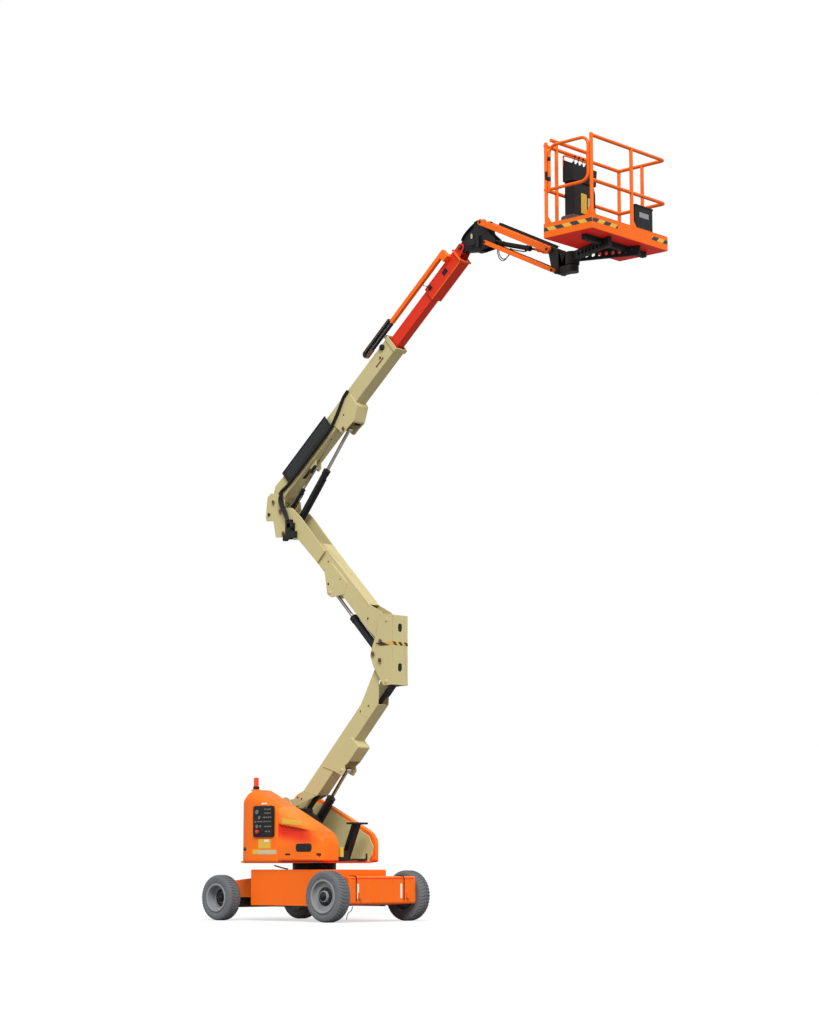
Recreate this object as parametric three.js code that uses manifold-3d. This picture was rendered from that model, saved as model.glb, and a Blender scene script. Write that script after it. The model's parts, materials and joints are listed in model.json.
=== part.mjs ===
// Articulating boom lift, electric, up-and-over type, with a telescoping main boom and a jib.
// Millimetres, +Z up. The slew axis is x = 0, y = 0. The boom points along +X and the machine's
// right side is -Y. The origin is the centre of the chassis underside, so the floor lies at
// z = -groundClearance. Inside this file heights are counted from the floor.
import * as THREE from 'three';
import { mergeVertices } from 'three/addons/utils/BufferGeometryUtils.js';
import Module from 'manifold-3d';

const wasm = await Module();
wasm.setup();

// ---------------------------------------------------------------- driving dimensions
const FACE_GAP = 0.3; // between pieces that touch
const MOVING_GAP = 6; // between pieces that move past each other
const PIN_CLEARANCE = 1; // radial, round a pin or a shaft

// running gear
const wheelbase = 2000;
const track = 1510; // between tyre centres
const tyreDiameter = 660; // at the drive end
const steerTyreDiameter = 600;
const tyreWidth = 210;
const tyreDepth = 128; // from the rim to the tread
const rimWall = 9;
const groundClearance = 200;
const kingpinInset = 175; // from the tyre's centre plane to the kingpin
const kingpinRadius = 25;
const steeringArm = 150;
const tieRodRadius = 16;

// chassis
const chassisTop = 670;
const chassisHalfWidth = 600;
const chassisFront = 750;
const chassisTaperStart = -592; // ahead of the steered tyres' sweep
const noseHalfWidth = 360;
const noseEnd = -1230;
const noseBottom = 300;
const axleBoxFront = 1250;
const axleBoxBottom = 200;
const axleBoxTop = 585;
const slewRingRadius = 290;
const slewRingHeight = 84;

// turntable and hoods
const deckThickness = 25;
const hoodInner = 350; // half distance between the hoods
const hoodOuter = 680;
const leftHoodShare = 0.4; // the left hood's width as a share of the right hood's
const hoodWall = 8;
const tailX = -820;
const hoodPeak = 1728;
const hoodNoseX = 790;

// tower: a lower link, a knuckle and an upper link, each link lifted by its own cylinder
const towerPivot = [-420, 1540];
const lowerLinkLength = 2546;
const lowerLinkAngle = 46.27;
const lowerLinkDrop = 100; // the box hangs this far below the line of its pivots
const towerBoxDepth = 236;
const towerBoxHalfWidth = 100;
const upperLinkLength = 2672;
const upperLinkAngle = 45.53;
const upperBoxDepth = 250;
const upperBoxRise = 175; // of the box's upper face above the line of its pivots
const linkWall = 8;
const knuckleRise = [8, 249]; // from the lower link's pivot to the upper link's pivot
const knuckleHalfWidth = 145;
const knucklePlate = 18;
const levelLinkOffset = [106, -282];
const lowerCylinderBase = [-150, 1050];
const lowerCylinderEye = [1020, -445]; // in the lower link's frame
const towerCylinderBase = [-125, 92]; // from the lower link's pivot on the knuckle
const towerCylinderEye = [1196, -190]; // in the upper link's frame

// upright and main boom
const boomPivotOffset = [-136, 142]; // from the upper link's end pivot
const mainCylinderBase = [62, -312]; // from the upper link's end pivot
const uprightHalfWidth = 165;
const uprightPlate = 18;
const boomAngle = 40.5;
const boomLength = 2900; // pivot to mouth
const boomHalfWidth = 97;
const boomDepth = 235;
const boomRise = 188; // of the boom's upper face above its pivot
const boomWall = 8;
const mainCylinderEye = [1543, -165]; // in the boom's frame
const levelCylinderEye = [770, -112];

// fly boom, jib and platform
const flyHalfWidth = 65;
const flyDepth = 165;
const flyWall = 8;
const flyInside = 1500; // of the fly inside the main boom at rest
const flyHeadStart = 3740;
const flyHeadEnd = 4420;
const jibBracketPivot = [4515, 116]; // in the boom's frame
const jibRearTop = [385, 261]; // from the jib bracket's pivot
const jibRearBottom = [461, -22];
const jibLength = 1243;
const jibAngle = -26.7;
const jibTubeInner = 88;
const jibTubeWidth = 50;
const jibUpperDepth = 80;
const jibLowerDepth = 54;
const jibCylinderBase = [550, -20]; // from the jib bracket's pivot
const jibCylinderEye = [1029, -54]; // in the upper jib links' frame
const rotatorReach = 305; // from the jib's upper front pivot to the rotator's axis
const platformReach = 160; // from the rotator's axis to the platform's near edge
const platformDepth = 760;
const platformWidth = 1520;
const platformDrop = 72; // of the floor's underside below the jib's upper front pivot
const toeBoardHeight = 180;
const railHeight = 1170; // above the floor's underside
const midRailHeight = 610;
const railRadius = 19;
const consoleRail = 100; // of the console's own rail above the top rail

// ---------------------------------------------------------------- materials
const paint = (color, roughness = 0.4) => new THREE.MeshStandardMaterial({ color, roughness, metalness: 0 });
const ORANGE = paint(0xf26a1b);
const RED = paint(0xd8341f);
const CREAM = paint(0xc9bc8b, 0.5);
const BLACK = paint(0x17181a, 0.55);
const RUBBER = paint(0x5c6064, 0.85);
const STEEL = new THREE.MeshStandardMaterial({ color: 0x9a8a84, roughness: 0.3, metalness: 1 });
const LENS = paint(0xf0561c, 0.2);

// ---------------------------------------------------------------- geometry helpers
const rad = THREE.MathUtils.degToRad;

// Make a manifold solid from a closed three.js geometry.
function solid(geometry) {
  const bare = new THREE.BufferGeometry();
  bare.setAttribute('position', geometry.getAttribute('position'));
  bare.setIndex(geometry.getIndex());
  const merged = mergeVertices(bare, 1e-3);
  const index = merged.getIndex().array;
  const position = merged.getAttribute('position').array;
  const triangles = [];
  let volume = 0;
  for (let i = 0; i < index.length; i += 3) {
    const [a, b, c] = [index[i], index[i + 1], index[i + 2]];
    if (a === b || b === c || c === a) continue;
    triangles.push(a, b, c);
    const [p, q, r] = [a, b, c].map((k) => new THREE.Vector3().fromArray(position, 3 * k));
    volume += p.dot(q.cross(r));
  }
  if (volume < 0) {
    for (let i = 0; i < triangles.length; i += 3) {
      [triangles[i], triangles[i + 1]] = [triangles[i + 1], triangles[i]];
    }
  }
  const mesh = new wasm.Mesh({
    numProp: 3,
    vertProperties: Float32Array.from(position),
    triVerts: Uint32Array.from(triangles),
  });
  return new wasm.Manifold(mesh);
}

const join = (first, ...others) => others.reduce((whole, piece) => whole.add(piece), first);
const cut = (first, ...others) => others.reduce((whole, piece) => whole.subtract(piece), first);
const bothSides = (piece) => piece.add(piece.mirror([0, 1, 0]));

function box(x0, x1, y0, y1, z0, z1) {
  const geometry = new THREE.BoxGeometry(x1 - x0, y1 - y0, z1 - z0);
  geometry.translate((x0 + x1) / 2, (y0 + y1) / 2, (z0 + z1) / 2);
  return solid(geometry);
}

// A shape through the given points. A point may carry a third number, the radius of its corner.
function outline(points) {
  const shape = new THREE.Shape();
  const count = points.length;
  points.forEach(([x, y, radius = 0], i) => {
    const corner = new THREE.Vector2(x, y);
    if (radius === 0) {
      if (i === 0) shape.moveTo(x, y);
      else shape.lineTo(x, y);
      return;
    }
    const before = new THREE.Vector2(...points[(i + count - 1) % count]).sub(corner);
    const after = new THREE.Vector2(...points[(i + 1) % count]).sub(corner);
    const half = Math.acos(before.dot(after) / (before.length() * after.length())) / 2;
    const reach = Math.min(radius / Math.tan(half), 0.49 * before.length(), 0.49 * after.length());
    const start = corner.clone().addScaledVector(before.normalize(), reach);
    const end = corner.clone().addScaledVector(after.normalize(), reach);
    if (i === 0) shape.moveTo(start.x, start.y);
    else shape.lineTo(start.x, start.y);
    shape.quadraticCurveTo(x, y, end.x, end.y);
  });
  shape.closePath();
  return shape;
}

const CORNER_STEPS = 3;
function extrude(points, depth) {
  return new THREE.ExtrudeGeometry(outline(points), {
    depth,
    bevelEnabled: false,
    curveSegments: CORNER_STEPS,
  });
}

// A plate whose outline is drawn in x and z, from y0 to y1.
function plate(points, y0, y1) {
  const geometry = extrude(points, y1 - y0);
  geometry.rotateX(Math.PI / 2);
  geometry.translate(0, y1, 0);
  return solid(geometry);
}

// A slab whose outline is drawn in x and y, from z0 to z1.
function slab(points, z0, z1) {
  const geometry = extrude(points, z1 - z0);
  geometry.translate(0, 0, z0);
  return solid(geometry);
}

// A bar whose outline is drawn in y and z, from x0 to x1.
function bar(points, x0, x1) {
  const geometry = extrude(points, x1 - x0);
  geometry.applyMatrix4(new THREE.Matrix4().makeBasis(
    new THREE.Vector3(0, 1, 0), new THREE.Vector3(0, 0, 1), new THREE.Vector3(1, 0, 0)));
  geometry.translate(x0, 0, 0);
  return solid(geometry);
}

const ROUND_SIDES = 16;
function roundBar(radius, from, to, sides = ROUND_SIDES) {
  const a = new THREE.Vector3(...from);
  const b = new THREE.Vector3(...to);
  const length = a.distanceTo(b);
  const geometry = new THREE.CylinderGeometry(radius, radius, length, sides);
  const turn = new THREE.Quaternion().setFromUnitVectors(
    new THREE.Vector3(0, 1, 0), b.clone().sub(a).normalize());
  geometry.applyQuaternion(turn);
  geometry.translate(...a.add(b).multiplyScalar(0.5).toArray());
  return solid(geometry);
}

const pin = (radius, [x, z], halfWidth, sides = ROUND_SIDES) =>
  roundBar(radius, [x, -halfWidth, z], [x, halfWidth, z], sides);
const pinFrom = (radius, [x, z], y0, y1, sides = ROUND_SIDES) =>
  roundBar(radius, [x, y0, z], [x, y1, z], sides);

// A solid of revolution about the y axis, from [radius, y] points that close on themselves.
function turned(points, sides) {
  const profile = points.map(([r, y]) => new THREE.Vector2(r, y));
  profile.push(profile[0].clone());
  return solid(new THREE.LatheGeometry(profile, sides));
}

// Points on a round end of a plate, from one angle to another in degrees.
function arc([x, z], radius, from, to, steps = 6) {
  return Array.from({ length: steps + 1 }, (_, i) => {
    const angle = rad(from + ((to - from) * i) / steps);
    return [x + radius * Math.cos(angle), z + radius * Math.sin(angle)];
  });
}

// ---------------------------------------------------------------- scene graph helpers
const machine = new THREE.Group();
machine.position.z = -groundClearance;

function node(name, shape, material, parent = machine) {
  const { vertProperties, triVerts } = shape.getMesh();
  const geometry = new THREE.BufferGeometry();
  geometry.setAttribute('position', new THREE.BufferAttribute(Float32Array.from(vertProperties), 3));
  geometry.setIndex(new THREE.BufferAttribute(Uint32Array.from(triVerts), 1));
  geometry.computeVertexNormals();
  const mesh = new THREE.Mesh(geometry, material);
  mesh.name = name;
  parent.add(mesh);
  return mesh;
}

// A group at a pivot whose own x axis points along the given angle in the x-z plane.
function frameAt([x, z], angle) {
  const group = new THREE.Group();
  group.position.set(x, 0, z);
  group.rotation.y = -rad(angle);
  machine.add(group);
  return group;
}

const plus = ([a, b], [c, d]) => [a + c, b + d];
const minus = ([a, b], [c, d]) => [a - c, b - d];
const turn = ([u, v], angle) => {
  const [c, s] = [Math.cos(rad(angle)), Math.sin(rad(angle))];
  return [u * c - v * s, u * s + v * c];
};
const along = (origin, point, angle) => plus(origin, turn(point, angle));

// ---------------------------------------------------------------- where the pivots are
// The upper link points backwards, so its frame is mirrored: u runs back along the link.
const upperFrameAngle = 180 - upperLinkAngle;
const flip = ([u, v]) => [u, -v];
const P = {};
P.tower = towerPivot;
P.knuckle = along(P.tower, [lowerLinkLength, 0], lowerLinkAngle);
P.upper = plus(P.knuckle, knuckleRise);
P.upright = along(P.upper, [upperLinkLength, 0], upperFrameAngle);
P.boom = plus(P.upright, boomPivotOffset);
P.levelLinkBase = plus(P.tower, levelLinkOffset);
P.levelLinkTop = plus(P.knuckle, levelLinkOffset);
P.lowerCylinderBase = lowerCylinderBase;
P.lowerCylinderEye = along(P.tower, lowerCylinderEye, lowerLinkAngle);
P.towerCylinderBase = plus(P.knuckle, towerCylinderBase);
P.towerCylinderEye = along(P.upper, flip(towerCylinderEye), upperFrameAngle);
P.mainCylinderBase = plus(P.upright, mainCylinderBase);
P.mainCylinderEye = along(P.boom, mainCylinderEye, boomAngle);
P.levelCylinderBase = P.upright;
P.levelCylinderEye = along(P.boom, levelCylinderEye, boomAngle);
P.jibBracket = along(P.boom, jibBracketPivot, boomAngle);
P.jibTop = plus(P.jibBracket, jibRearTop);
P.jibBottom = plus(P.jibBracket, jibRearBottom);
P.jibTopFront = along(P.jibTop, [jibLength, 0], jibAngle);
P.jibBottomFront = along(P.jibBottom, [jibLength, 0], jibAngle);
P.jibCylinderBase = plus(P.jibBracket, jibCylinderBase);
P.jibCylinderEye = along(P.jibTop, jibCylinderEye, jibAngle);
P.rotator = [P.jibTopFront[0] + rotatorReach, P.jibTopFront[1]];

// ---------------------------------------------------------------- running gear
const axleHeight = tyreDiameter / 2;
const steerHeight = steerTyreDiameter / 2;
const halfTyre = tyreWidth / 2;
const WHEEL_SIDES = 28;

function tyre(diameter) {
  const outer = diameter / 2;
  const rimRadius = outer - tyreDepth;
  return turned([
    [rimRadius + FACE_GAP, -halfTyre + 16], [rimRadius + 22, -halfTyre + 6],
    [0.86 * outer, -halfTyre], [outer - 14, -halfTyre + 18], [outer, -halfTyre + 44],
    [outer, halfTyre - 44], [outer - 14, halfTyre - 18], [0.86 * outer, halfTyre],
    [rimRadius + 22, halfTyre - 6], [rimRadius + FACE_GAP, halfTyre - 16],
  ], WHEEL_SIDES);
}

const hubBore = 46; // of the wheel's hub, round the spindle
const spindleRadius = hubBore - PIN_CLEARANCE;
const driveDisc = 30; // from the tyre's centre plane outwards to the disc
const steerDisc = -40;
const discThickness = 14;
const hubRadius = 78;

// A rim whose disc stands at the given place, with a hub that reaches hubReach beyond it.
function rim(diameter, disc, hubReach) {
  const rimRadius = diameter / 2 - tyreDepth;
  const wide = halfTyre - 8;
  return turned([
    [hubBore, disc - 22], [hubRadius, disc - 22], [hubRadius, disc],
    [rimRadius - rimWall, disc], [rimRadius - rimWall, -wide], [rimRadius, -wide],
    [rimRadius, wide], [rimRadius - rimWall, wide], [rimRadius - rimWall, disc + discThickness],
    [hubRadius, disc + discThickness], [hubRadius - 8, disc + hubReach],
    [hubBore, disc + hubReach],
  ], WHEEL_SIDES);
}

for (const [side, s] of [['left', 1], ['right', -1]]) {
  const place = (name, shape, material, x, height) => {
    const mesh = node(name, shape, material);
    mesh.position.set(x, (s * track) / 2, height);
    mesh.rotation.z = s > 0 ? 0 : Math.PI;
    return mesh;
  };
  place(`drive_tyre_${side}`, tyre(tyreDiameter), RUBBER, wheelbase / 2, axleHeight);
  place(`drive_rim_${side}`, rim(tyreDiameter, driveDisc, 60), BLACK, wheelbase / 2, axleHeight);
  place(`steer_tyre_${side}`, tyre(steerTyreDiameter), RUBBER, -wheelbase / 2, steerHeight);
  place(`steer_rim_${side}`, rim(steerTyreDiameter, steerDisc, 40), STEEL, -wheelbase / 2, steerHeight);
}

// Steering knuckle for the left side: kingpin, block, spindle and steering arm.
const kingpinY = track / 2 - kingpinInset;
const yokeLow = steerHeight - 105;
const yokeHigh = steerHeight + 105;
const yokePlate = 24;
const armHeight = [steerHeight - 88, steerHeight - 62];
const tieRodY = kingpinY;
function steeringKnuckle() {
  const x = -wheelbase / 2;
  const y = kingpinY;
  const block = box(x - 42, x + 42, y - 34, y + 44, yokeLow + 3, yokeHigh - 3);
  const kingpin = roundBar(kingpinRadius, [x, y, yokeLow - yokePlate - 4], [x, y, yokeHigh + yokePlate + 4]);
  const spindle = roundBar(spindleRadius, [x, y, steerHeight],
    [x, track / 2 + steerDisc + 30, steerHeight], 24);
  const arm = slab([
    [x - 30, y - 26], [x + steeringArm + 20, tieRodY - 22, 14], [x + steeringArm + 20, tieRodY + 22, 14],
    [x - 30, y + 26],
  ], ...armHeight);
  const bore = roundBar(kingpinRadius - 8, [x + steeringArm, tieRodY, 0],
    [x + steeringArm, tieRodY, steerHeight], 16);
  return cut(join(block, kingpin, spindle, arm), bore);
}
const knuckleLeft = steeringKnuckle();
node('steer_knuckle_left', knuckleLeft, BLACK);
node('steer_knuckle_right', knuckleLeft.mirror([0, 1, 0]), BLACK);

function tieRod() {
  const x = -wheelbase / 2 + steeringArm;
  const low = armHeight[0] - 8 - 2 * tieRodRadius;
  const z = low + tieRodRadius;
  const rod = roundBar(tieRodRadius, [x, -tieRodY, z], [x, tieRodY, z], 12);
  const ball = roundBar(28, [x, tieRodY, low], [x, tieRodY, armHeight[0] - 6]);
  const stud = roundBar(kingpinRadius - 8 - PIN_CLEARANCE, [x, tieRodY, low],
    [x, tieRodY, armHeight[1] + 6], 16);
  return join(rod, bothSides(ball), bothSides(stud));
}
node('tie_rod', tieRod(), BLACK);

function steerAxle() {
  const x = -wheelbase / 2;
  const web = kingpinY - 95;
  const beam = box(x - 60, x + 60, -web - 1, web + 1, yokeLow - yokePlate, noseBottom - FACE_GAP);
  const end = box(x - 60, x + 60, web, web + 26, yokeLow - yokePlate, yokeHigh + yokePlate);
  const lug = (z0, z1) => slab([
    [x - 40, web], [x + 40, web], [x + 40, kingpinY + 34, 30], [x - 40, kingpinY + 34, 30],
  ], z0, z1);
  const bore = roundBar(kingpinRadius + PIN_CLEARANCE, [x, kingpinY, 0], [x, kingpinY, chassisTop]);
  const yoke = cut(join(end, lug(yokeLow - yokePlate, yokeLow), lug(yokeHigh, yokeHigh + yokePlate)), bore);
  const armRoom = box(x - 10, x + 61, web - 45, web + 27, armHeight[0] - 6, armHeight[1] + 6);
  return cut(join(beam, bothSides(yoke)), bothSides(armRoom));
}
node('steer_axle', steerAxle(), BLACK);

// ---------------------------------------------------------------- chassis
function chassis() {
  const side = plate([
    [noseEnd, noseBottom], [-820, noseBottom], [-700, groundClearance], [chassisFront, groundClearance],
    [chassisFront, chassisTop, 20], [-640, chassisTop, 20], [-790, 560], [noseEnd, 520, 20],
  ], -chassisHalfWidth, chassisHalfWidth);
  const plan = slab([
    [noseEnd, -noseHalfWidth, 30], [chassisTaperStart - 40, -noseHalfWidth],
    [chassisTaperStart, -chassisHalfWidth],
    [chassisFront, -chassisHalfWidth], [chassisFront, chassisHalfWidth],
    [chassisTaperStart, chassisHalfWidth], [chassisTaperStart - 40, noseHalfWidth],
    [noseEnd, noseHalfWidth, 30],
  ], 0, chassisTop + 1);
  const lug = bar([[-40, 380], [40, 380], [40, 440, 20], [-40, 440, 20]], noseEnd - 50, noseEnd + 5);
  const lugs = join(lug.translate([0, 220, 0]), lug.translate([0, -220, 0]));
  return join(side.intersect(plan), lugs);
}
node('chassis_frame', chassis(), ORANGE);

function driveAxle() {
  const halfBox = track / 2 - halfTyre - 18;
  const start = chassisFront + FACE_GAP;
  const housing = plate([
    [start, axleBoxBottom], [axleBoxFront, axleBoxBottom + 30, 30], [axleBoxFront, axleBoxTop, 40],
    [start, axleBoxTop],
  ], -halfBox, halfBox);
  const x = wheelbase / 2;
  const tube = roundBar(90, [x, -track / 2 + 30, axleHeight], [x, track / 2 - 30, axleHeight], 28);
  const spindle = roundBar(spindleRadius, [x, -track / 2 - driveDisc - 40, axleHeight],
    [x, track / 2 + driveDisc + 40, axleHeight], 24);
  const lug = box(axleBoxFront - 5, axleBoxFront + 50, 440, 464, 300, 380);
  return join(housing, tube, spindle, bothSides(lug));
}
node('drive_axle', driveAxle(), ORANGE);

node('slew_ring', roundBar(slewRingRadius, [0, 0, chassisTop + FACE_GAP],
  [0, 0, chassisTop + slewRingHeight], 40), BLACK);

// ---------------------------------------------------------------- turntable
const deckLow = chassisTop + slewRingHeight + MOVING_GAP;
const deckHigh = deckLow + deckThickness;
const cheekInner = 120; // of the plates that carry the tower's pivots
const cheekPlate = 16;
const wallPlate = 12;
const towerPinRadius = 30;
const cylinderPinRadius = 22;

function turntable() {
  const wing = hoodOuter - hoodWall - 32;
  const leftWing = hoodInner + (hoodOuter - hoodInner) * leftHoodShare - hoodWall - 32;
  const deck = slab([
    [tailX + 40, -wing, 60], [hoodNoseX - 90, -wing, 120], [hoodNoseX - 90, leftWing, 60],
    [tailX + 40, leftWing, 30],
  ], deckLow, deckHigh);
  const wall = plate([
    [tailX + 60, deckHigh - 1], [hoodNoseX - 100, deckHigh - 1], [hoodNoseX - 40, 860, 30],
    [hoodNoseX - 22, 970, 30], [690, 1110, 60], [0, 1455, 60], [-229, 1560, 40], [tailX + 60, 1560, 40],
  ], hoodInner - 10 - wallPlate, hoodInner - 10);
  const cheek = plate([
    [-640, deckHigh - 1], [-60, deckHigh - 1], [-60, 1180, 40], ...arc(P.tower, 95, 20, 160),
    [-640, 1380, 60],
  ], cheekInner, cheekInner + cheekPlate);
  const back = box(-660, -640 + 1, -hoodInner + 11, hoodInner - 11, deckHigh - 1, 1380);
  const lug = plate([
    [-250, deckHigh - 1], [-50, deckHigh - 1], ...arc(P.lowerCylinderBase, 60, 0, 180),
  ], 62, 62 + cheekPlate);
  const bosses = join(
    pin(towerPinRadius, P.tower, cheekInner + cheekPlate + 12),
    pin(cylinderPinRadius, P.levelLinkBase, cheekInner + cheekPlate),
    pin(cylinderPinRadius, P.lowerCylinderBase, 62 + cheekPlate + 10),
  );
  return join(deck, bothSides(wall), bothSides(cheek), back, bothSides(lug), bosses);
}
node('turntable_frame', turntable(), CREAM);

// A hood's cross-sections from tail to nose: x, top, outer half width and the radius of its shoulder.
const hoodSections = [
  [tailX, 1590, 480, 70], [tailX + 26, 1665, 550, 90], [tailX + 80, 1715, 630, 100],
  [tailX + 160, hoodPeak - 2, hoodOuter - 8, 110], [tailX + 230, hoodPeak, hoodOuter, 110],
  [-480, 1718, hoodOuter, 110], [-229, 1601, hoodOuter, 100], [0, 1493, hoodOuter, 90],
  [420, 1294, hoodOuter, 90], [620, 1196, hoodOuter - 2, 90], [700, 1146, hoodOuter - 22, 80],
  [760, 1084, hoodOuter - 70, 70], [hoodNoseX - 4, 1020, hoodOuter - 130, 60], [hoodNoseX, 960, hoodOuter - 170, 50],
];
const hoodFloor = 785;
const SHOULDER_STEPS = 3;
function hoodSkin(sections, low, inner) {
  const rings = sections.map(([x, top, outer, radius]) => [
    [x, inner, low], [x, outer - 14, low], [x, outer, low + 30],
    ...Array.from({ length: SHOULDER_STEPS + 1 }, (_, i) => {
      const angle = (Math.PI / 2) * (i / SHOULDER_STEPS);
      return [x, outer - radius + radius * Math.cos(angle), top - radius + radius * Math.sin(angle)];
    }),
    [x, inner, top],
  ]);
  const size = rings[0].length;
  const triangles = [];
  for (let i = 0; i + 1 < rings.length; i += 1) {
    for (let k = 0; k < size; k += 1) {
      const [a, b] = [i * size + k, i * size + ((k + 1) % size)];
      triangles.push(a, b, b + size, a, b + size, a + size);
    }
  }
  const last = (rings.length - 1) * size;
  for (let k = 1; k + 1 < size; k += 1) {
    triangles.push(0, k + 1, k, last, last + k, last + k + 1);
  }
  const geometry = new THREE.BufferGeometry();
  geometry.setAttribute('position', new THREE.Float32BufferAttribute(rings.flat(2), 3));
  geometry.setIndex(triangles);
  return solid(geometry);
}
function hood(share) {
  const sections = hoodSections.map(([x, top, outer, radius]) => [
    x, top, hoodInner + (outer - hoodInner) * share, radius * Math.min(1, share * 1.25)]);
  const inside = sections.map(([x, top, outer, radius]) => [
    x + (x < -600 ? hoodWall : x > 600 ? -hoodWall : 0), top - hoodWall * 1.4, outer - hoodWall, radius]);
  return cut(hoodSkin(sections, hoodFloor, hoodInner),
    hoodSkin(inside, hoodFloor - 1, hoodInner - 1));
}
node('hood_left', hood(leftHoodShare), ORANGE);
node('hood_right', hood(1).mirror([0, 1, 0]), ORANGE);

const weightHalf = hoodInner - 10 - wallPlate - 2;
node('counterweight', slab([
  [tailX - 80, -weightHalf, 60], [tailX + 150, -weightHalf], [tailX + 150, weightHalf],
  [tailX - 80, weightHalf, 60],
], deckHigh + FACE_GAP, 1480), ORANGE);

const blockLow = deckHigh + FACE_GAP;
const leftSpace = hoodInner + (hoodOuter - hoodInner) * leftHoodShare - 50;
node('battery_pack', box(-520, 420, hoodInner + 10, leftSpace, blockLow, 1060), BLACK);
node('pump_unit', box(-360, 300, -600, -hoodInner - 10, blockLow, 1020), BLACK);

const panelFace = hoodOuter + FACE_GAP;
function controlPanel() {
  const face = plate([[-456, 1095, 40], [-66, 1095, 40], [-66, 1506, 40], [-456, 1506, 40]],
    -panelFace - 22, -panelFace);
  const stop = roundBar(22, [-360, -panelFace - 21, 1165], [-360, -panelFace - 45, 1165]);
  return join(face, stop);
}
node('ground_control_panel', controlPanel(), BLACK);

function beacon() {
  const [x, y, z] = [-610, -hoodInner - 150, hoodPeak + 6];
  const base = roundBar(46, [x, y, z - 4], [x, y, z + 36]);
  const lens = roundBar(34, [x, y, z + 35], [x, y, z + 158]);
  return join(base, lens);
}
node('beacon', beacon(), LENS);

function boomRest() {
  const post = plate([[520, deckHigh + FACE_GAP], [610, deckHigh + FACE_GAP], [820, 1262], [730, 1262]],
    -45, 45);
  const foot = box(450, 628, -90, 90, deckHigh + FACE_GAP, deckHigh + 14);
  const rest = box(735, 845, -150, 150, 1258, 1284);
  return join(post, foot, rest);
}
node('boom_rest', boomRest(), BLACK);

function valveTray() {
  const z = deckHigh + FACE_GAP;
  const tray = box(640, 700, -hoodInner + 30, -60, z, z + 130);
  const shelf = box(699, 760, -hoodInner + 30, -160, z + 10, z + 40);
  return join(tray, shelf);
}
node('valve_tray', valveTray(), BLACK);

// ---------------------------------------------------------------- tower
// Barrels and rods lie along their group's x axis, from the pivot at the cylinder's foot.
function barrel(radius, length, footRadius, footHalf, footBore, boreRadius) {
  const tube = roundBar(radius, [footRadius * 0.6, 0, 0], [length, 0, 0]);
  const gland = roundBar(radius + 4, [length - 60, 0, 0], [length, 0, 0]);
  const foot = pin(footRadius, [0, 0], footHalf);
  const bore = roundBar(boreRadius, [footRadius + 4, 0, 0], [length + 1, 0, 0]);
  return cut(join(tube, gland, foot), bore, pin(footBore, [0, 0], footHalf + 1));
}

// The rod ends in an eye that sits between two lugs, so that it may drift from its own pin.
function rod(radius, start, eye, eyeRadius, eyeHalf) {
  const shaft = roundBar(radius, [start, 0, 0], [eye - eyeRadius * 0.5, 0, 0]);
  return join(shaft, pin(eyeRadius, [eye, 0], eyeHalf));
}

function cylinder(name, foot, eye, size) {
  const [dx, dz] = minus(eye, foot);
  const length = Math.hypot(dx, dz);
  const group = frameAt(foot, THREE.MathUtils.radToDeg(Math.atan2(dz, dx)));
  const { radius, barrelLength, rodRadius, rodStart, footRadius, footHalf, footPin, eyeRadius, eyeHalf } = size;
  node(`${name}_barrel`, barrel(radius, barrelLength, footRadius, footHalf, footPin + PIN_CLEARANCE,
    rodRadius + PIN_CLEARANCE), BLACK, group);
  node(`${name}_rod`, rod(rodRadius, rodStart, length, eyeRadius, eyeHalf), STEEL, group);
}

function boxLink(points, topStart, topEnd, bottomStart, bottomEnd, top, bottom, halfWidth) {
  const wall = plate(points, halfWidth - linkWall, halfWidth);
  const roof = box(topStart, topEnd, -halfWidth + 1, halfWidth - 1, top - linkWall, top);
  const floor = box(bottomStart, bottomEnd, -halfWidth + 1, halfWidth - 1, bottom, bottom + linkWall);
  return join(bothSides(wall), roof, floor);
}

const lowerFrame = frameAt(P.tower, lowerLinkAngle);
const lowerTop = -lowerLinkDrop;
const lowerBottom = lowerTop - towerBoxDepth;
function lowerLink() {
  const L = lowerLinkLength;
  const body = boxLink([
    [470, lowerBottom], [L - 466, lowerBottom], [L - 396, lowerBottom + 60], [L - 250, -140],
    ...arc([L, 0], 78, -70, 100), [L - 200, 25], [L - 680, lowerTop], [337, lowerTop],
    [150, -50], ...arc([0, 0], 85, 100, 250), [120, -160],
  ], 337, L - 690, 470, L - 470, lowerTop, lowerBottom, towerBoxHalfWidth);
  const [eu, ev] = lowerCylinderEye;
  const lug = plate([
    [eu - 200, lowerTop - 60], [eu + 60, lowerTop - 20, 60], [eu + 430, lowerBottom + 60],
    [eu + 430, lowerBottom - 130, 30], [eu + 160, lowerBottom - 130, 30], [eu + 72, ev, 20],
    [eu + 44, ev - 56, 40], [eu - 50, ev - 60, 40], [eu - 90, ev + 60, 40],
  ], towerBoxHalfWidth - 1, towerBoxHalfWidth + 12);
  const nose = plate([
    [eu + 160, lowerBottom + 1], [eu + 430, lowerBottom + 1], [eu + 430, lowerBottom - 130, 30],
    [eu + 160, lowerBottom - 130, 30],
  ], -towerBoxHalfWidth, towerBoxHalfWidth);
  const hollow = plate([
    [eu + 150, lowerBottom - 1], [eu + 418, lowerBottom - 1], [eu + 418, lowerBottom - 120, 24],
    [eu + 150, lowerBottom - 120],
  ], -towerBoxHalfWidth + 10, towerBoxHalfWidth - 10);
  const heads = bothSides(pinFrom(cylinderPinRadius, [eu, ev], towerBoxHalfWidth - 1, towerBoxHalfWidth + 24));
  return cut(join(body, bothSides(lug), cut(nose, hollow), heads),
    pin(towerPinRadius + PIN_CLEARANCE, [0, 0], 200), pin(towerPinRadius + PIN_CLEARANCE, [L, 0], 200));
}
node('lower_link', lowerLink(), CREAM, lowerFrame);

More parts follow.
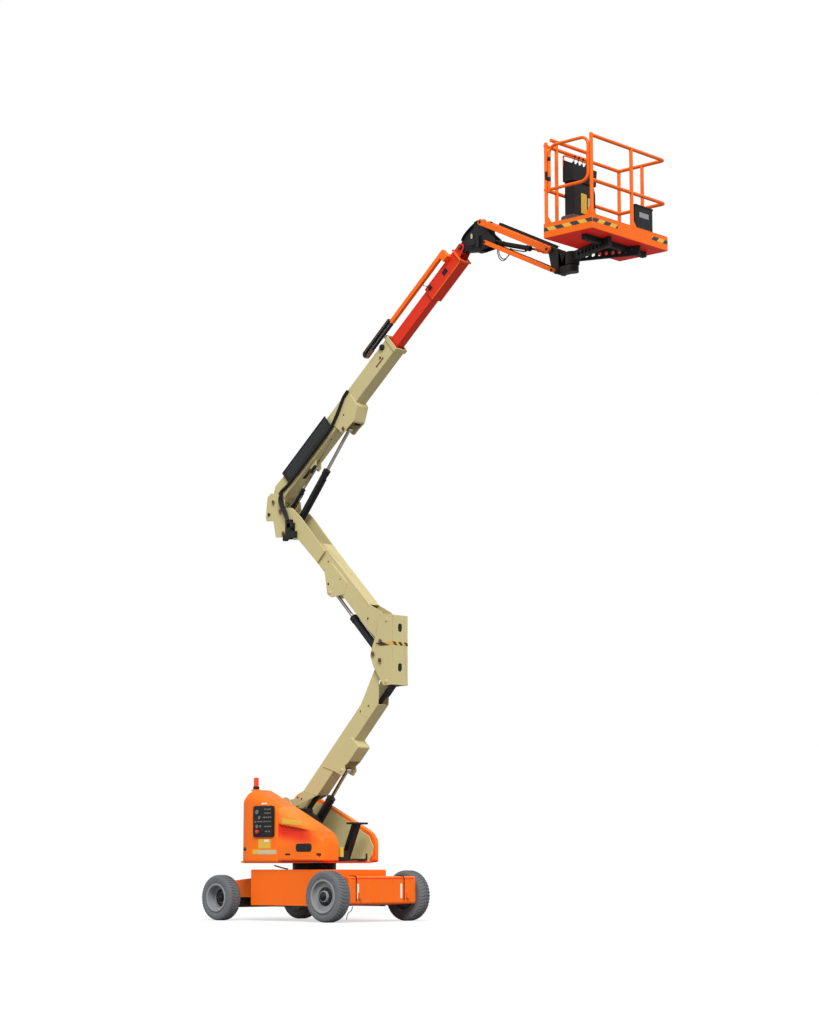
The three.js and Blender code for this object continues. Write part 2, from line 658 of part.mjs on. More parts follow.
function levelLink() {
  const group = frameAt(P.levelLinkBase, lowerLinkAngle);
  const L = lowerLinkLength;
  const web = plate([[0, -25], [L - 260, -25], [L - 200, -60, 30], [L, -60], [L, 25], [0, 25]], -24, 24);
  const ends = join(pin(45, [0, 0], 40), pin(60, [L, 0], 80));
  const bores = [pin(cylinderPinRadius + PIN_CLEARANCE, [0, 0], 90), pin(cylinderPinRadius + PIN_CLEARANCE, [L, 0], 90)];
  node('level_link', cut(join(web, ends), ...bores), BLACK, group);
}
levelLink();

const KNUCKLE_PINS = [[0, 0], knuckleRise, towerCylinderBase, levelLinkOffset, [111, 525]];
function knuckle() {
  const inner = knuckleHalfWidth - knucklePlate;
  const at = (point) => plus(P.knuckle, point);
  const side = plate([
    [220, 585], [60, 610, 40], [-50, 520, 40], [-60, 400, 60], [-175, 130, 20], [-185, 60, 20],
    [-120, -90, 30], [-10, -250, 20], [50, -330], [220, -330],
  ].map((point) => [...at(point), point[2] ?? 0]), inner, knuckleHalfWidth);
  const front = box(...[205, 220].map((dx) => P.knuckle[0] + dx), -knuckleHalfWidth + 1, knuckleHalfWidth - 1,
    P.knuckle[1] - 330, P.knuckle[1] + 585);
  const hole = (rise) => bar([
    [-40, rise - 55, 38], [40, rise - 55, 38], [40, rise + 55, 38], [-40, rise + 55, 38],
  ].map(([y, z, r]) => [y, P.knuckle[1] + z, r]), P.knuckle[0] + 150, P.knuckle[0] + 250);
  const heads = KNUCKLE_PINS.map((point) =>
    bothSides(pinFrom(24, at(point), knuckleHalfWidth - 1, knuckleHalfWidth + 12)));
  const shafts = [
    pin(towerPinRadius, P.knuckle, inner + 1), pin(towerPinRadius, P.upper, inner + 1),
    pin(cylinderPinRadius, P.levelLinkTop, inner + 1), pin(cylinderPinRadius, P.towerCylinderBase, inner + 1),
  ];
  return join(bothSides(side), cut(front, hole(-100), hole(420)), ...heads, ...shafts);
}
node('knuckle', knuckle(), CREAM);

// The upper link's frame: u runs back along the link and v is up, so y is mirrored in it.
const upperFrame = new THREE.Group();
upperFrame.matrix.makeBasis(
  new THREE.Vector3(...turn([1, 0], upperFrameAngle).toSpliced(1, 0, 0)),
  new THREE.Vector3(0, -1, 0),
  new THREE.Vector3(...turn([0, -1], upperFrameAngle).toSpliced(1, 0, 0)),
).setPosition(P.upper[0], 0, P.upper[1]);
upperFrame.matrix.decompose(upperFrame.position, upperFrame.quaternion, upperFrame.scale);
machine.add(upperFrame);

const forkInner = boomHalfWidth + 23;
const forkPlate = 16;
const forkLength = 900;
function upperLink() {
  const L = upperLinkLength;
  const top = upperBoxRise;
  const bottom = top - upperBoxDepth;
  const split = L - forkLength;
  const wallPoints = [
    [330, bottom], [split + 60, bottom], [split + 60, top], [540, top], [300, 255], [215, 230, 30],
    ...arc([0, 0], 78, 90, 250), [150, bottom + 10],
  ];
  const body = boxLink(wallPoints, 540, split + 20, 330, split + 20, top, bottom, towerBoxHalfWidth);
  const fork = plate([
    [split - 120, bottom + 20], [L - 430, bottom], [L - 350, 0], [L - 262, 0],
    ...arc([L, 0], 66, -110, 90), [L - 110, top - 20, 60], [L - 330, top], [split - 120, top - 20],
  ], forkInner, forkInner + forkPlate);
  const filler = plate([
    [split - 110, bottom + 30], [split + 50, bottom + 30], [split + 50, top - 30], [split - 110, top - 30],
  ], towerBoxHalfWidth - 1, forkInner + 1);
  const [eu, ev] = towerCylinderEye;
  const lug = plate([
    [eu - 150, top - 60], [eu - 210, bottom + 30], [eu - 70, ev - 30, 40], [eu + 20, ev - 55, 40],
    [eu + 200, bottom - 40, 30], [eu + 330, bottom + 40], [eu + 260, top - 70],
  ], towerBoxHalfWidth - 1, towerBoxHalfWidth + 12);
  const heads = bothSides(pinFrom(cylinderPinRadius, [eu, ev], towerBoxHalfWidth - 1, towerBoxHalfWidth + 22));
  const eyeRoom = box(eu - 130, eu + 110, -towerBoxHalfWidth + linkWall, towerBoxHalfWidth - linkWall,
    bottom - 10, bottom + 40);
  return cut(join(body, bothSides(join(fork, filler, lug)), heads), eyeRoom,
    pin(towerPinRadius + PIN_CLEARANCE, [0, 0], 200), pin(towerPinRadius + PIN_CLEARANCE, [L, 0], 200));
}
node('upper_link', upperLink(), CREAM, upperFrame);

const towerCylinder = {
  radius: 52, barrelLength: 730, rodRadius: 24, rodStart: 330, footRadius: 48, footHalf: 42,
  footPin: cylinderPinRadius, eyeRadius: 36, eyeHalf: 38,
};
cylinder('lower_lift', P.lowerCylinderBase, P.lowerCylinderEye, {
  ...towerCylinder, radius: 55, barrelLength: 735, rodStart: 441,
});
cylinder('tower_lift', P.towerCylinderBase, P.towerCylinderEye, { ...towerCylinder, rodStart: 460 });

// ---------------------------------------------------------------- upright and main boom
function upright() {
  const inner = uprightHalfWidth - uprightPlate;
  const at = ([x, z, r = 0]) => [...plus(P.upright, [x, z]), r];
  const side = plate([
    [-270, 215, 30], [-300, -60, 20], [-286, -110, 20], [-150, -125], [-96, -356, 20], [100, -370, 60],
    [150, -290, 60], [75, 20, 40], [60, 150], [-80, 250, 60], [-200, 270, 40],
  ].map(at), inner, uprightHalfWidth);
  const back = box(P.upright[0] - 290, P.upright[0] - 274, -inner - 1, inner + 1,
    P.upright[1] - 60, P.upright[1] + 130);
  const pins = [
    pin(towerPinRadius, P.boom, uprightHalfWidth + 12), pin(towerPinRadius, P.upright, uprightHalfWidth + 12),
    pin(cylinderPinRadius, P.mainCylinderBase, uprightHalfWidth + 12),
  ];
  return join(bothSides(side), back, ...pins);
}
node('upright', upright(), CREAM);

const boomFrame = frameAt(P.boom, boomAngle);
const boomTop = boomRise;
const boomBottom = boomTop - boomDepth;
const boomCentre = (boomTop + boomBottom) / 2;
const tubeWall = (v0, v1, half, wall, u0, u1) => cut(
  box(u0, u1, -half, half, v0, v1),
  box(u0 - 1, u1 + 1, -half + wall, half - wall, v0 + wall, v1 - wall),
);
function mainBoom() {
  const tube = tubeWall(boomBottom, boomTop, boomHalfWidth, boomWall, 150, boomLength);
  const collar = tubeWall(boomBottom - 14, boomTop + 14, boomHalfWidth + 14, 12, boomLength - 60, boomLength);
  const collarFill = tubeWall(boomBottom - 4, boomTop + 4, boomHalfWidth + 4, 8, boomLength - 58, boomLength - 4);
  const cheek = plate([
    ...arc([0, 0], 95, 120, 260), [150, boomBottom - 10], [520, boomBottom + 40], [420, boomTop - 10],
    [120, boomTop + 10, 40],
  ], boomHalfWidth - 1, boomHalfWidth + 14);
  const [mu, mv] = mainCylinderEye;
  const lug = plate([
    [mu - 110, boomBottom + 120], [mu - 60, mv - 45, 50], [mu + 60, mv - 45, 30],
    [mu + 190, mv - 60, 30], [mu + 380, boomBottom - 60, 30], [mu + 380, boomTop - 60, 60],
    [mu + 60, boomTop - 40, 60],
  ], boomHalfWidth - 1, boomHalfWidth + 12);
  const nose = plate([
    [mu + 120, boomBottom + 1], [mu + 120, mv - 50], [mu + 190, mv - 60, 30],
    [mu + 380, boomBottom - 60, 30], [mu + 380, boomBottom + 1],
  ], -boomHalfWidth, boomHalfWidth);
  const hollow = plate([
    [mu + 110, boomBottom - 1], [mu + 110, mv - 70], [mu + 186, mv - 50, 24],
    [mu + 370, boomBottom - 56, 24], [mu + 370, boomBottom - 1],
  ], -boomHalfWidth + 10, boomHalfWidth - 10);
  const heads = bothSides(pinFrom(cylinderPinRadius, [mu, mv], boomHalfWidth, boomHalfWidth + 24));
  const eyeRoom = box(mu - 130, mu + 110, -46, 46, boomBottom - 1, boomBottom + boomWall + 1);
  const [lu, lv] = levelCylinderEye;
  const levelRoom = box(lu - 260, lu + 50, -32, 32, boomBottom - 1, boomBottom + boomWall + 1);
  const gusset = plate([
    [lu - 60, boomBottom + 1], [lu - 34, lv - 30, 20], [lu + 34, lv - 30, 20], [lu + 110, boomBottom + 1],
  ], 40, 52);
  const mast = box(2060, 2100, -20, 20, boomTop - 1, boomTop + 40);
  return cut(join(tube, collar, collarFill, bothSides(join(cheek, lug, gusset)), cut(nose, hollow), heads, mast),
    eyeRoom, levelRoom, pin(towerPinRadius + PIN_CLEARANCE, [0, 0], 200));
}
node('main_boom', mainBoom(), CREAM, boomFrame);

const guardFace = boomHalfWidth + 14 + FACE_GAP;
node('boom_guard', cut(
  box(348, 1420, -guardFace - 26, -guardFace, 20, boomTop + 26),
  box(300, 1500, -guardFace - 23, -guardFace + 1, 24, boomTop + 20),
), BLACK, boomFrame);

cylinder('main_lift', P.mainCylinderBase, P.mainCylinderEye, {
  radius: 46, barrelLength: 1060, rodRadius: 24, rodStart: 730, footRadius: 46, footHalf: 42,
  footPin: cylinderPinRadius, eyeRadius: 30, eyeHalf: 38,
});
cylinder('level_cylinder', P.levelCylinderBase, P.levelCylinderEye, {
  radius: 26, barrelLength: 405, rodRadius: 13, rodStart: 260, footRadius: 46, footHalf: 30,
  footPin: towerPinRadius, eyeRadius: 18, eyeHalf: 26,
});

// ---------------------------------------------------------------- fly boom
const flyTop = boomCentre + flyDepth / 2;
const flyBottom = boomCentre - flyDepth / 2;
const headHalf = flyHalfWidth + 22;
function flyBoom() {
  const tube = tubeWall(flyBottom, flyTop, flyHalfWidth, flyWall, flyInside, flyHeadEnd);
  const head = tubeWall(flyBottom - 18, flyTop + 18, headHalf, 18, flyHeadStart, flyHeadEnd - 1);
  const headFill = tubeWall(flyBottom - 4, flyTop + 4, flyHalfWidth + 5, 8, flyHeadStart + 1, flyHeadEnd - 2);
  const flange = tubeWall(flyBottom - 30, flyTop + 30, headHalf + 12, 34, flyHeadEnd - 20, flyHeadEnd);
  const [gu, gv] = jibBracketPivot;
  const lug = plate([
    [flyHeadEnd - 60, flyBottom + 30], [flyHeadEnd, flyBottom + 40], ...arc([gu, gv], 58, -70, 110),
    [flyHeadEnd - 60, flyTop + 16],
  ], headHalf - 20, headHalf - 4);
  const square = plate([[4080, 40], [4170, 40], [4170, 110], [4080, 110]], -headHalf - 5, -flyHalfWidth + 10);
  return cut(join(tube, head, headFill, flange, bothSides(lug)), square,
    pin(towerPinRadius + PIN_CLEARANCE, [gu, gv], 200));
}
node('fly_boom', flyBoom(), RED, boomFrame);

// The cable tray rides above the main boom on the near side, hung from the fly boom's head.
const trayY = [-160, -105];
const trayV = [boomTop + 34, boomTop + 92];
const trayStart = 3090;
function cableTray() {
  const run = box(trayStart, flyHeadEnd - 90, ...trayY, ...trayV);
  const bracket = box(flyHeadEnd - 190, flyHeadEnd - 90, trayY[0], -headHalf - FACE_GAP, flyTop - 10, trayV[1]);
  const top = box(flyHeadEnd - 190, flyHeadEnd - 90, -headHalf - 10, 20, flyTop + 18 + FACE_GAP, flyTop + 60);
  return join(run, bracket, top);
}
node('cable_tray', cableTray(), ORANGE, boomFrame);

node('energy_chain', plate([
  [2440, trayV[0] - 4, 60], [trayStart - FACE_GAP, trayV[0] - 4], [trayStart - FACE_GAP, trayV[1] + 40],
  [2440, trayV[1] + 40, 60],
], trayY[0] + 5, trayY[1] - 5), BLACK, boomFrame);

// ---------------------------------------------------------------- jib
const jibPinRadius = 22;
const bracketPlate = [60, 78];
const jibPlateOuter = bracketPlate[1];
function jibBracket() {
  const at = ([x, z, r = 0]) => [...plus(P.jibBracket, [x, z]), r];
  const hub = plate([
    ...arc([0, 0], 56, 100, 250).map(([x, z]) => [x, z]), [300, -90], [330, -60], [330, 290], [250, 310, 30],
    [120, 230, 60],
  ].map(at), -60, 60);
  const web = plate([[230, -95], [330, -95], [330, 320, 20], [230, 300, 20]].map(at),
    -jibPlateOuter, jibPlateOuter);
  const ear = plate([
    [310, -95], [jibCylinderBase[0] - 20, -75, 20], [jibCylinderBase[0] + 45, jibCylinderBase[1] - 30, 30],
    [jibCylinderBase[0] + 30, jibCylinderBase[1] + 45, 30], [470, 120, 60], [430, 300, 40], [310, 320],
  ].map(at), ...bracketPlate);
  const base = pin(cylinderPinRadius, P.jibCylinderBase, jibPlateOuter + 6);
  const shaft = pin(towerPinRadius, P.jibBracket, headHalf + 14);
  const bores = [P.jibTop, P.jibBottom].map((point) => pin(jibPinRadius + PIN_CLEARANCE, point, 200));
  return cut(join(hub, web, bothSides(ear), base, shaft), ...bores);
}
node('jib_bracket', jibBracket(), BLACK);

function jibLinks(depth, frontLug) {
  const L = jibLength;
  const tube = plate([
    ...arc([0, 0], depth / 2, 90, 270), ...arc([L, 0], depth / 2, -90, 90),
  ], jibTubeInner, jibTubeInner + jibTubeWidth);
  const shafts = [pin(jibPinRadius, [0, 0], jibTubeInner + 1), pin(jibPinRadius, [L, 0], jibTubeInner + 1)];
  const parts = [bothSides(tube), ...shafts];
  if (frontLug) {
    const [eu, ev] = frontLug;
    parts.push(bothSides(plate([
      ...arc([L, 0], 34, -60, 120), [eu - 20, 40, 20], [eu - 40, ev - 20, 20], [eu + 20, ev - 30, 20],
    ], 44, 54)));
  }
  return join(...parts);
}
const jibUpperFrame = frameAt(P.jibTop, jibAngle);
node('jib_upper_links', jibLinks(jibUpperDepth, jibCylinderEye), ORANGE, jibUpperFrame);
node('jib_lower_links', jibLinks(jibLowerDepth), ORANGE, frameAt(P.jibBottom, jibAngle));
node('jib_cable_track', box(120, jibLength - 60, jibTubeInner + 4, jibTubeInner + jibTubeWidth - 4,
  jibUpperDepth / 2 + FACE_GAP, jibUpperDepth / 2 + 34), BLACK, jibUpperFrame);

cylinder('jib_lift', P.jibCylinderBase, P.jibCylinderEye, {
  radius: 32, barrelLength: 600, rodRadius: 16, rodStart: 170, footRadius: 36, footHalf: 38,
  footPin: cylinderPinRadius, eyeRadius: 26, eyeHalf: 34,
});

// Two thin hoses hang in a loop under the jib's lift cylinder, from its foot to its body.
const hoseRadius = 6;
const hoseSides = 6;
function hose(route) {
  const curve = new THREE.CatmullRomCurve3(route.map((point) => new THREE.Vector3(...point)));
  const middle = new THREE.TubeGeometry(curve, 24, hoseRadius, hoseSides, false);
  const cap = (index, inwards) => {
    const centre = curve.getPoint(index);
    const ring = Array.from({ length: hoseSides }, (_, k) => new THREE.Vector3().fromBufferAttribute(
      middle.getAttribute('position'), (index ? 24 : 0) * (hoseSides + 1) + k));
    return ring.flatMap((point, k) => {
      const next = ring[(k + 1) % hoseSides];
      return (inwards ? [centre, next, point] : [centre, point, next]).flatMap((q) => q.toArray());
    });
  };
  const flat = middle.toNonIndexed().getAttribute('position').array;
  const geometry = new THREE.BufferGeometry();
  geometry.setAttribute('position', new THREE.Float32BufferAttribute(
    [...flat, ...cap(0, false), ...cap(1, true)], 3));
  return solid(geometry);
}
const [hoseX, hoseZ] = P.jibCylinderBase;
for (const [name, y, sag] of [['jib_hose_near', -14, 262], ['jib_hose_far', 10, 236]]) {
  node(name, hose([
    [22, 0, -42], [26, 0, -66], [32, 0, -0.52 * sag], [62, 0, -0.84 * sag], [116, 0, -sag],
    [176, 0, -0.93 * sag], [224, 0, -0.74 * sag], [248, 0, -130], [255, 0, -118],
  ].map(([dx, , dz]) => [hoseX + dx, y, hoseZ + dz])), BLACK);
}

const rotatorLow = P.rotator[1] - 330;
const rotatorTop = P.rotator[1] - 238;
function jibFrontBracket() {
  const [fx, fz] = P.jibTopFront;
  const [bx, bz] = P.jibBottomFront;
  const ear = plate([
    [fx - 34, fz + 20, 30], [fx + 20, fz + 44, 30], [fx + 130, fz - 10], [fx + 130, bz - 50],
    [bx, bz - 42, 30], [bx - 40, bz, 30],
  ], ...bracketPlate);
  const web = box(fx + 110, fx + 140, -jibPlateOuter, jibPlateOuter, bz - 50, fz - 10);
  const arm = box(fx + 139, P.rotator[0], -60, 60, rotatorLow, rotatorTop);
  const post = roundBar(80, [P.rotator[0], 0, rotatorLow], [P.rotator[0], 0, rotatorTop], 32);
  const bores = [P.jibTopFront, P.jibBottomFront].map((point) => pin(jibPinRadius + PIN_CLEARANCE, point, 200));
  return cut(join(bothSides(ear), web, arm, post), ...bores);
}
node('jib_front_bracket', jibFrontBracket(), BLACK);

// ---------------------------------------------------------------- platform
const floorLow = P.rotator[1] - platformDrop;
const platformX = [P.rotator[0] + platformReach, P.rotator[0] + platformReach + platformDepth];
const halfPlatform = platformWidth / 2;
function platformSupport() {
  const [x0, x1] = platformX;
  const top = floorLow - FACE_GAP;
  const hub = roundBar(90, [P.rotator[0], 0, rotatorTop + MOVING_GAP], [P.rotator[0], 0, top], 32);
  const reach = x1 - 90 - P.rotator[0];
  const spread = 20; // degrees to each side
  const arm = box(0, reach / Math.cos(rad(spread)), -24, 24, top - 120, top);
  const holes = [];
  for (let x = 190; x < reach - 20; x += 86) {
    holes.push(roundBar(28, [x, -25, top - 60], [x, 25, top - 60], 12));
  }
  const drilled = cut(arm, ...holes);
  const place = (angle) => drilled.rotate([0, 0, angle]).translate([P.rotator[0], 0, 0]);
  const cross = box(x0 + 470, x0 + 540, -halfPlatform + 150, halfPlatform - 150, top - 70, top);
  return join(hub, place(spread), place(-spread), cross);
}
node('platform_support', platformSupport(), BLACK);

const toeWall = 5;
function platformFloor() {
  const [x0, x1] = platformX;
  const outside = box(x0, x1, -halfPlatform, halfPlatform, floorLow, floorLow + toeBoardHeight);
  return cut(outside, box(x0 + toeWall, x1 - toeWall, -halfPlatform + toeWall, halfPlatform - toeWall,
    floorLow + 30, floorLow + toeBoardHeight + 1));
}
node('platform_floor', platformFloor(), ORANGE);

const postFoot = floorLow + 30 + FACE_GAP;
const railTop = floorLow + railHeight;
const railMid = floorLow + midRailHeight;
const railInset = toeWall + 2 + railRadius;
const RAIL_SIDES = 8;
const tubeBetween = (from, to, radius = railRadius) => roundBar(radius, from, to, RAIL_SIDES);
function guardRails() {
  const [x0, x1] = [platformX[0] + railInset, platformX[1] - railInset];
  const y = halfPlatform - railInset;
  const posts = [
    [x0, -y, 45], [x0, -530, consoleRail], [x0, 100, consoleRail], [x0, y, 0], [x1 - 340, y, 0],
    [x1, 60, 0], [x1, -y, 26],
  ];
  const pieces = posts.map(([px, py, above]) => tubeBetween([px, py, postFoot], [px, py, railTop + above]));
  for (const z of [railTop, railMid]) {
    pieces.push(tubeBetween([x1, -y, z], [x1, y + railRadius, z]));
    pieces.push(tubeBetween([x0 - 6, y, z], [x1 + railRadius, y, z]));
    pieces.push(tubeBetween([x0, -y - railRadius, z], [x0, y, z]));
  }
  pieces.push(tubeBetween([x0, -640, railTop + consoleRail], [x0, 140, railTop + consoleRail]));
  return join(...pieces);
}
node('guard_rails', guardRails(), ORANGE);

// The gate closes the short side on -Y and swings inwards about the post at the jib's side.
const gateHinge = [platformX[0] + railInset + railRadius + 26, -halfPlatform + railInset];
const gateTube = 16;
function gate() {
  const [x0, y] = gateHinge;
  const x1 = platformX[1] - railInset - railRadius - 26;
  const low = railMid;
  const high = railTop;
  const corner = 110;
  const path = [
    [x0, low - 30], [x0, high - corner], [x0 + corner / 3, high - corner / 3], [x0 + corner, high],
    [x1 - corner, high], [x1 - corner / 3, high - corner / 3], [x1, high - corner],
    [x1, low + corner], [x1 - corner / 3, low + corner / 3], [x1 - corner, low], [x0, low],
  ];
  const tubes = path.slice(1).map((end, i) =>
    tubeBetween([path[i][0], y, path[i][1]], [end[0], y, end[1]], gateTube));
  const elbows = path.slice(1, -1).map(([x, z]) =>
    solid(new THREE.SphereGeometry(gateTube, 8, 6).translate(x, y, z)));
  return join(...tubes, ...elbows);
}
node('gate', gate(), ORANGE);

function controlConsole() {
  const [x0] = platformX;
  const [y0, y1] = [-450, 10];
  const near = x0 + 2 * railInset + 4;
  const shelf = box(near, x0 + 240, y0, y1, floorLow + toeBoardHeight + 30, floorLow + toeBoardHeight + 90);
  const body = plate([
    [near, floorLow + toeBoardHeight + 89], [x0 + 226, floorLow + toeBoardHeight + 89],
    [x0 + 226, railMid + 60], [x0 + 200, railMid + 160], [near, railMid + 160],
  ], y0 + 40, y1 - 20);
  const desk = plate([
    [near, railMid + 159], [x0 + 222, railMid + 159], [x0 + 240, railTop - 200], [near, railTop - 110],
  ], y0, y1);
  return join(shelf, body, desk);
}
node('control_console', controlConsole(), BLACK);

node('document_box', box(platformX[1] - railInset * 2 - 90, platformX[1] - railInset * 2 - 12,
  halfPlatform - 570, halfPlatform - 220, postFoot, postFoot + 470), BLACK);

export default machine;
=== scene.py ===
"""Looks of an articulating boom lift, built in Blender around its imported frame.

Everything is in metres. +Z is up, the boom points along +X, and the machine's right side is -Y.
"""

from __future__ import annotations

import json
import logging
import math
from dataclasses import dataclass, field
from enum import Enum
from typing import Sequence

import bmesh
import bpy
from mathutils import Matrix, Vector

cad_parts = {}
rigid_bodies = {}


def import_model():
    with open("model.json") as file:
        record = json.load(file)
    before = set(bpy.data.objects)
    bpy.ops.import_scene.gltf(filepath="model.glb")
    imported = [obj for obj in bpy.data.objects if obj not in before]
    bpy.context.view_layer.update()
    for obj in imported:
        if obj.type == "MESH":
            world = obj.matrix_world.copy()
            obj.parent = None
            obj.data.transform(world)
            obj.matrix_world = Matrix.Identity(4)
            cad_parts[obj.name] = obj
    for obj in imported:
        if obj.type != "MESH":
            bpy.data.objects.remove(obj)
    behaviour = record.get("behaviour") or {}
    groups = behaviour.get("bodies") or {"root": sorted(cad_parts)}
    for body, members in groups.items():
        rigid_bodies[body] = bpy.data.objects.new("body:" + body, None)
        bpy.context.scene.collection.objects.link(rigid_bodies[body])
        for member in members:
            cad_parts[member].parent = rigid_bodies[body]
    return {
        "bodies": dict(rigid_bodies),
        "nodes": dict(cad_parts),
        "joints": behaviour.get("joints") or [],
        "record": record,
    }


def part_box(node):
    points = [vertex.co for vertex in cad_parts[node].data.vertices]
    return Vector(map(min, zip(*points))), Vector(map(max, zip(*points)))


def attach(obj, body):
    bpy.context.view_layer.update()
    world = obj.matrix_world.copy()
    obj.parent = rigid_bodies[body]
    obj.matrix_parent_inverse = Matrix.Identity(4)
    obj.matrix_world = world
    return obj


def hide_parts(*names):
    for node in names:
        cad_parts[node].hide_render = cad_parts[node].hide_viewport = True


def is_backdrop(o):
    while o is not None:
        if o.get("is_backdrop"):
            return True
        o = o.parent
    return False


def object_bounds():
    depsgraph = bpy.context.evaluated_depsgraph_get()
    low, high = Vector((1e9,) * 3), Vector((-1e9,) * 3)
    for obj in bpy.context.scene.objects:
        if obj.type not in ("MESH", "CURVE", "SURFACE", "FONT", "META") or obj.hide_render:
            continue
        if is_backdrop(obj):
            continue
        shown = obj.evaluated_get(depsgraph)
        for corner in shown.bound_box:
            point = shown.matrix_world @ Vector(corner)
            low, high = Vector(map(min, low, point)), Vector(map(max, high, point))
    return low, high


log = logging.getLogger("boom_lift")

Point2 = tuple[float, float]
UP = Vector((0, 0, 1))
ACROSS = Vector((0, 1, 0))
BEVEL = 0.003  # of an ordinary plate's edge


# ---------------------------------------------------------------- the frame
class Side(Enum):
    """The machine's two sides, with the sign of their y."""

    LEFT = 1
    RIGHT = -1

    @property
    def word(self) -> str:
        """The side's name in lower case."""
        return self.name.lower()


@dataclass(frozen=True)
class Plane:
    """A link's own side view: u along the link, v square to it, y across the machine."""

    origin: Vector
    along: Vector
    up: Vector

    def at(self, u: float, y: float, v: float) -> Vector:
        """The point at u along, v up and y across."""
        return self.origin + self.along * u + self.up * v + ACROSS * y

    @staticmethod
    def between(start: Vector, end: Vector) -> Plane:
        """A plane whose u runs from one point to another and whose v points upwards."""
        along = (end - start).normalized()
        up = along.cross(ACROSS)
        return Plane(start.copy(), along, -up if up.z < 0 else up)


LEVEL = Plane(Vector((0, 0, 0)), Vector((1, 0, 0)), Vector((0, 0, 1)))


class Machine:
    """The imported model: its bodies, nodes and joints."""

    def __init__(self) -> None:
        """Load the frame and keep its box as it is before any look is added."""
        self.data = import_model()
        self.joints = {joint["name"]: joint for joint in self.data["joints"]}
        self.cad_box = [list(corner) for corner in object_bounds()]

    def pivot(self, joint: str) -> Vector:
        """The point that a hinge turns about."""
        return Vector(self.joints[joint]["pos_m"])

    def axis(self, joint: str) -> Vector:
        """The direction of a joint's axis."""
        return Vector(self.joints[joint]["axis"])

    def low(self, node: str) -> Vector:
        """The lowest corner of a node's box."""
        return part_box(node)[0]

    def high(self, node: str) -> Vector:
        """The highest corner of a node's box."""
        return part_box(node)[1]

    def mesh_copy(self, node: str) -> bpy.types.Mesh:
        """A copy of a node's mesh."""
        return self.data["nodes"][node].data.copy()


# ---------------------------------------------------------------- shader groups
def linear(hex_colour: str) -> tuple[float, float, float, float]:
    """A colour as the shader wants it, from six hexadecimal digits."""
    channels = [int(hex_colour[i:i + 2], 16) / 255 for i in (0, 2, 4)]
    return (*[c / 12.92 if c <= 0.04045 else ((c + 0.055) / 1.055) ** 2.4 for c in channels], 1.0)


class Shader:
    """Shorthand for adding nodes to a node tree and joining them."""

    def __init__(self, tree: bpy.types.NodeTree) -> None:
        """Wrap a node tree."""
        self.tree = tree

    def add(self, kind: str, **settings: object) -> bpy.types.Node:
        """Add a node.

        Args:
            kind: the node's type name.
            settings: attributes of the node, or input sockets by name with underscores for spaces.

        Returns:
            The new node.
        """
        node = self.tree.nodes.new(kind)
        for key, value in settings.items():
            if hasattr(node, key):
                setattr(node, key, value)
            else:
                self.put(value, node.inputs[key.replace("_", " ")])
        return node

    def put(self, value: object, socket: bpy.types.NodeSocket) -> None:
        """Link a socket to an input, or set the input's value."""
        if isinstance(value, bpy.types.NodeSocket):
            self.tree.links.new(value, socket)
        else:
            socket.default_value = value

    def math(self, operation: str, *values: object, clamp: bool = False) -> bpy.types.NodeSocket:
        """The result of a Math node."""
        node = self.tree.nodes.new("ShaderNodeMath")
        node.operation = operation
        node.use_clamp = clamp
        for value, socket in zip(values, node.inputs):
            self.put(value, socket)
        return node.outputs[0]

    def mix(self, factor: object, first: object, second: object) -> bpy.types.NodeSocket:
        """A mix of two colours."""
        node = self.tree.nodes.new("ShaderNodeMix")
        node.data_type = "RGBA"
        self.put(factor, node.inputs[0])
        self.put(first, node.inputs[6])
        self.put(second, node.inputs[7])
        return node.outputs[2]

    def noise(self, scale: object, detail: float, vector: object) -> bpy.types.NodeSocket:
        """The value of a noise texture."""
        node = self.add("ShaderNodeTexNoise", Scale=scale, Detail=detail)
        self.put(vector, node.inputs["Vector"])
        return node.outputs[0]

    def ramp(self, value: object, low: object, high: object) -> bpy.types.NodeSocket:
        """A value mapped smoothly from a range onto 0 to 1."""
        node = self.tree.nodes.new("ShaderNodeMapRange")
        node.interpolation_type = "SMOOTHSTEP"
        self.put(value, node.inputs["Value"])
        self.put(low, node.inputs["From Min"])
        self.put(high, node.inputs["From Max"])
        return node.outputs[0]


def new_group(name: str, inputs: dict[str, tuple[str, object]], outputs: dict[str, str]) -> tuple:
    """Start a shader node group.

    Args:
        name: the group's name.
        inputs: socket names, each with its kind (Float, Color or Vector) and default value.
        outputs: socket names with their kinds.

    Returns:
        The group, a Shader on it, the input node's sockets and the output node.
    """
    group = bpy.data.node_groups.new(name, "ShaderNodeTree")
    for socket, (kind, value) in inputs.items():
        made = group.interface.new_socket(socket, in_out="INPUT", socket_type=f"NodeSocket{kind}")
        made.default_value = value
    for socket, kind in outputs.items():
        group.interface.new_socket(socket, in_out="OUTPUT", socket_type=f"NodeSocket{kind}")
    shader = Shader(group)
    return group, shader, shader.add("NodeGroupInput").outputs, shader.add("NodeGroupOutput")


